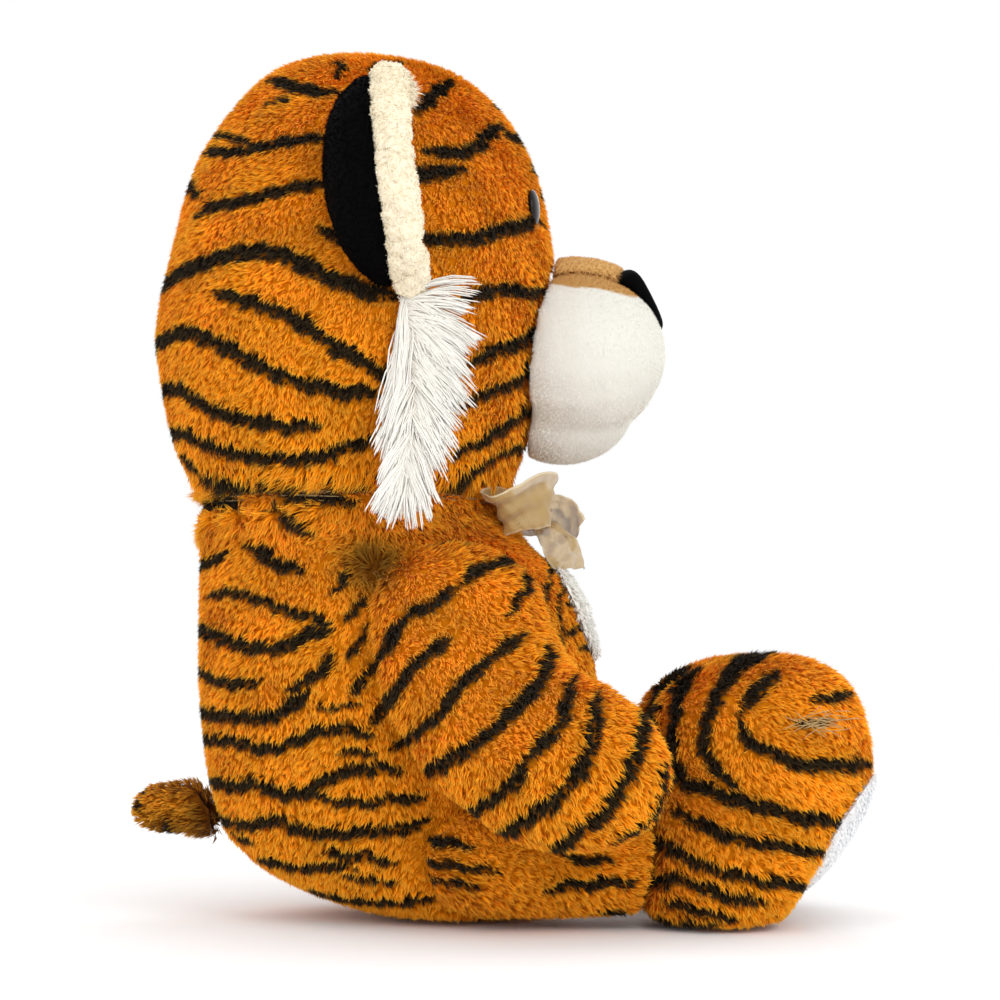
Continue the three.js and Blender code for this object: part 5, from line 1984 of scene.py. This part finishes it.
    def knot(self) -> None:
        """The knot: ribbon wound tightly round the gathered loops, in soft folds."""
        made, share, side = self.grid("bow_knot_ribbon", 56, 20)
        turn = 2 * math.pi * share
        x = self.KNOT_WIDTH * (side - 0.5)
        belly = np.sqrt(np.clip(1 - (x / self.KNOT_REACH) ** 2, 0.05, 1))
        radius = belly * (1 + 0.05 * np.sin(3 * turn)) + 0.07 * np.sin(2 * math.pi * 3 * side + np.sin(turn))
        y = self.KNOT_Y + self.KNOT_DEPTH * radius * np.cos(turn)
        z = self.HEIGHT + self.KNOT_RISE * radius * np.sin(turn)
        places = np.stack([x + 0.0012 * np.sin(2 * turn), y, z], axis=1)
        self.finish(made, places, "bow_knot", Finishes.KNOT, self.KNOT_LENGTH, "folded")


# Limbs


@dataclass
class Arm:
    """A stuffed arm that hangs beside the body.

    Attributes:
        side: The side that it is on.
    """

    side: Side

    def build(self) -> None:
        """Builds the arm's striped plush."""
        word = self.side.word
        FurredPiece(
            f"{word}_arm_fur", f"{word}_arm", (f"{word}_arm_cover", f"{word}_arm_stuffing"), "tiger_plush",
            Finishes.TIGER, PAW_PILE, ARM_STRIPES, nap=(0.0, -0.75, -1.0), smoothing=12, fringe=0.08, seed=51,
            spots=(SHOULDER_WHORL.on(self.side),),
        ).build()


@dataclass
class Leg:
    """A stuffed leg that lies forward on the seat, with its tall foot and white sole.

    Attributes:
        side: The side that it is on.
        threads: Loose threads at the toe's pinch stitch.
        PINCH: The pinch stitch.
        THREAD_LENGTHS: Shortest and longest thread.
        THREAD_RADIUS: Half a thread's thickness.
        THREAD_STEPS: Places along a thread.
    """

    PINCH = Spot((-124, -202, 137), (17, 17, 12), whorl=0.9, dent=0.007)
    THREAD_LENGTHS = (0.008, 0.024)
    THREAD_RADIUS = 0.00025
    THREAD_STEPS = 5

    side: Side
    threads: int = 36

    def build(self) -> None:
        """Builds the thigh, the foot, the sole and the toe's threads."""
        word = self.side.word
        body = f"{word}_leg"
        FurredPiece(
            f"{word}_leg_fur", body, (f"{word}_leg_cover", f"{word}_leg_stuffing"), "tiger_plush",
            Finishes.TIGER, LONG_PILE, LEG_STRIPES, nap=(0.0, -1.0, -0.5), smoothing=10, seed=61,
        ).build()
        FurredPiece(
            f"{word}_foot_fur", body, (f"{word}_foot_cover", f"{word}_foot_stuffing"), "tiger_plush",
            Finishes.TIGER, PAW_PILE, FOOT_STRIPES, nap=(0.0, -0.6, -0.8), fringe=0.003,
            smoothing=10, seed=62, spots=(self.PINCH.on(self.side),),
        ).build()
        FurredPiece(
            f"{word}_sole_plush", body, (f"{word}_sole",), "white_plush", Finishes.SOLE, SOLE_PILE,
            nap=(0.0, 0.0, -1.0), voxel=0.0024, smoothing=6, sink=0.0005, depth=0.5, seed=63, fill=0.5,
            shift=(0.0, 0.0042, 0.0027),
        ).build()
        self.toe_threads(body)

    def toe_threads(self, body: str) -> None:
        """The frayed ends of the thread that pinches the toe.

        Args:
            body: Frame body that they move with.
        """
        rng = np.random.default_rng(66)
        count, steps = self.threads, self.THREAD_STEPS
        x, y, z = (value * MM for value in self.PINCH.place)
        heading = rng.choice([0.0, math.pi], count, p=[0.72, 0.28]) + rng.normal(0, 0.25, count)
        long = rng.uniform(*self.THREAD_LENGTHS, count)
        begin = rng.normal(0, 1, (count, 2)) * (0.007, 0.0022)
        curl = rng.normal(0, 0.004, count)
        lines = np.zeros((count, steps, 3))
        for step in range(steps):
            t = step / (steps - 1)
            arch = 0.006 * math.sin(math.pi * (0.15 + 0.7 * t))
            lines[:, step, 0] = x - arch + rng.normal(0, 0.0005, count)
            lines[:, step, 1] = y + begin[:, 0] - np.cos(heading) * long * t
            lines[:, step, 2] = z + begin[:, 1] + np.sin(heading) * long * t + curl * t * t
        if self.side is Side.LEFT:
            lines[:, :, 0] *= -1
        mesh = StrandMesh()
        radii = np.full((count, steps - 1), self.THREAD_RADIUS)
        mesh.add_strands(lines, radii, np.zeros(count), np.zeros(count))
        made = mesh.make(f"{self.side.word}_toe_threads", Finishes.THREAD)
        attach(made, body)
        log.info("%s: %d threads", made.name, count)


class Tail:
    """The short blunt tail low on the back."""

    def build(self) -> None:
        """Builds the tail's plush."""
        FurredPiece(
            "tail_fur", "tail", ("tail_cover", "tail_stuffing"), "tiger_plush", Finishes.TAIL, LONG_PILE,
            TAIL_STRIPES, nap=(0.0, 1.0, -0.1), voxel=0.004, smoothing=5, seed=71, shift=(0.0, 0.0, 0.003),
            spots=(
                Spot((0, 200, 72), (60, 14, 60), longer=0.6, shade=0.7),
                Spot((0, 228, 62), (60, 16, 12), shade=0.6),
                Spot((0, 216, 92), (60, 16, 12), shade=0.4),
            ),
        ).build()


# Studio


@dataclass
class Studio:
    """The pale floor, the soft light and the camera.

    Attributes:
        eye: Place of the camera.
        pitch: Degrees that the camera looks up.
        field: Angle of view across the picture, in degrees.
        AIM: Where the lamps look.
        FLOOR_SIZE: Side of the floor.
        SENSOR_WIDTH: Width of the camera's sensor, in millimetres.
    """

    AIM = (0.0, 0.0, 0.3)
    FLOOR_SIZE = 160
    SENSOR_WIDTH = 36

    eye: tuple[float, float, float] = (-1.5, -0.0015, 0.169)
    pitch: float = 4.6
    field: float = 26.42

    def build(self) -> None:
        """Sets the floor, lamps, world and camera."""
        self.floor()
        self.lamp("key", (-1.75, -1.05, 1.0), size=1.4, power=17)
        self.lamp("fill", (-1.5, 1.6, 1.0), size=1.6, power=7)
        self.lamp("far", (1.6, 0.2, 1.5), size=1.6, power=6)
        self.world()
        self.camera()
        bpy.context.scene.view_settings.view_transform = "Standard"

    def floor(self) -> None:
        """A wide pale floor under the toy."""
        bpy.ops.object.select_all(action="DESELECT")
        bpy.ops.mesh.primitive_plane_add(size=self.FLOOR_SIZE)
        floor = bpy.context.active_object
        floor.name = "floor"
        made = bpy.data.materials.new("pale_floor")
        Look(made).shader({"Base Color": (1, 1, 1, 1), "Roughness": 1.0, "Specular IOR Level": 0.0})
        floor.data.materials.append(made)
        floor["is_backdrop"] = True

    def lamp(self, name: str, place: tuple[float, float, float], size: float, power: float) -> None:
        """A square soft lamp that looks at the toy's middle.

        Args:
            name: Name of the lamp.
            place: Its place.
            size: Its side.
            power: Its power in watts.
        """
        data = bpy.data.lights.new(name, "AREA")
        data.size = size
        data.energy = power
        lamp = bpy.data.objects.new(name, data)
        lamp.location = place
        aim = Vector(self.AIM) - Vector(place)
        lamp.rotation_mode = "QUATERNION"
        lamp.rotation_quaternion = aim.to_track_quat("-Z", "Y")
        bpy.context.collection.objects.link(lamp)

    def world(self) -> None:
        """Plain white all round, which is the background and a soft light."""
        world = bpy.data.worlds.new("studio")
        bpy.context.scene.world = world
        look = Look(world)
        look.change(look.nodes["Background"], {"Color": (1, 1, 1, 1), "Strength": 1.0})

    def camera(self) -> None:
        """The camera at the photograph's viewing angle."""
        data = bpy.data.cameras.new("camera")
        data.sensor_width = self.SENSOR_WIDTH
        data.lens = self.SENSOR_WIDTH / 2 / math.tan(math.radians(self.field / 2))
        camera = bpy.data.objects.new("camera", data)
        camera.location = self.eye
        up = math.radians(self.pitch)
        camera.rotation_mode = "QUATERNION"
        camera.rotation_quaternion = Vector((math.cos(up), 0, math.sin(up))).to_track_quat("-Z", "Y")
        bpy.context.collection.objects.link(camera)
        bpy.context.scene.camera = camera


def report_triangles() -> None:
    """Reports how many triangles the dressed toy has."""
    total = 0
    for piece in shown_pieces():
        piece.data.calc_loop_triangles()
        total += len(piece.data.loop_triangles)
    log.info("%d triangles in all", total)


def main() -> None:
    """Builds the toy's pieces in order and sets the studio."""
    logging.basicConfig(level=logging.INFO, format="%(message)s")
    Head().build()
    for side in Side:
        Ear(side).build()
    Trunk().build()
    for side in Side:
        Arm(side).build()
        Leg(side).build()
    Tail().build()
    Studio().build()
    report_triangles()


if __name__ == "__main__":
    main()
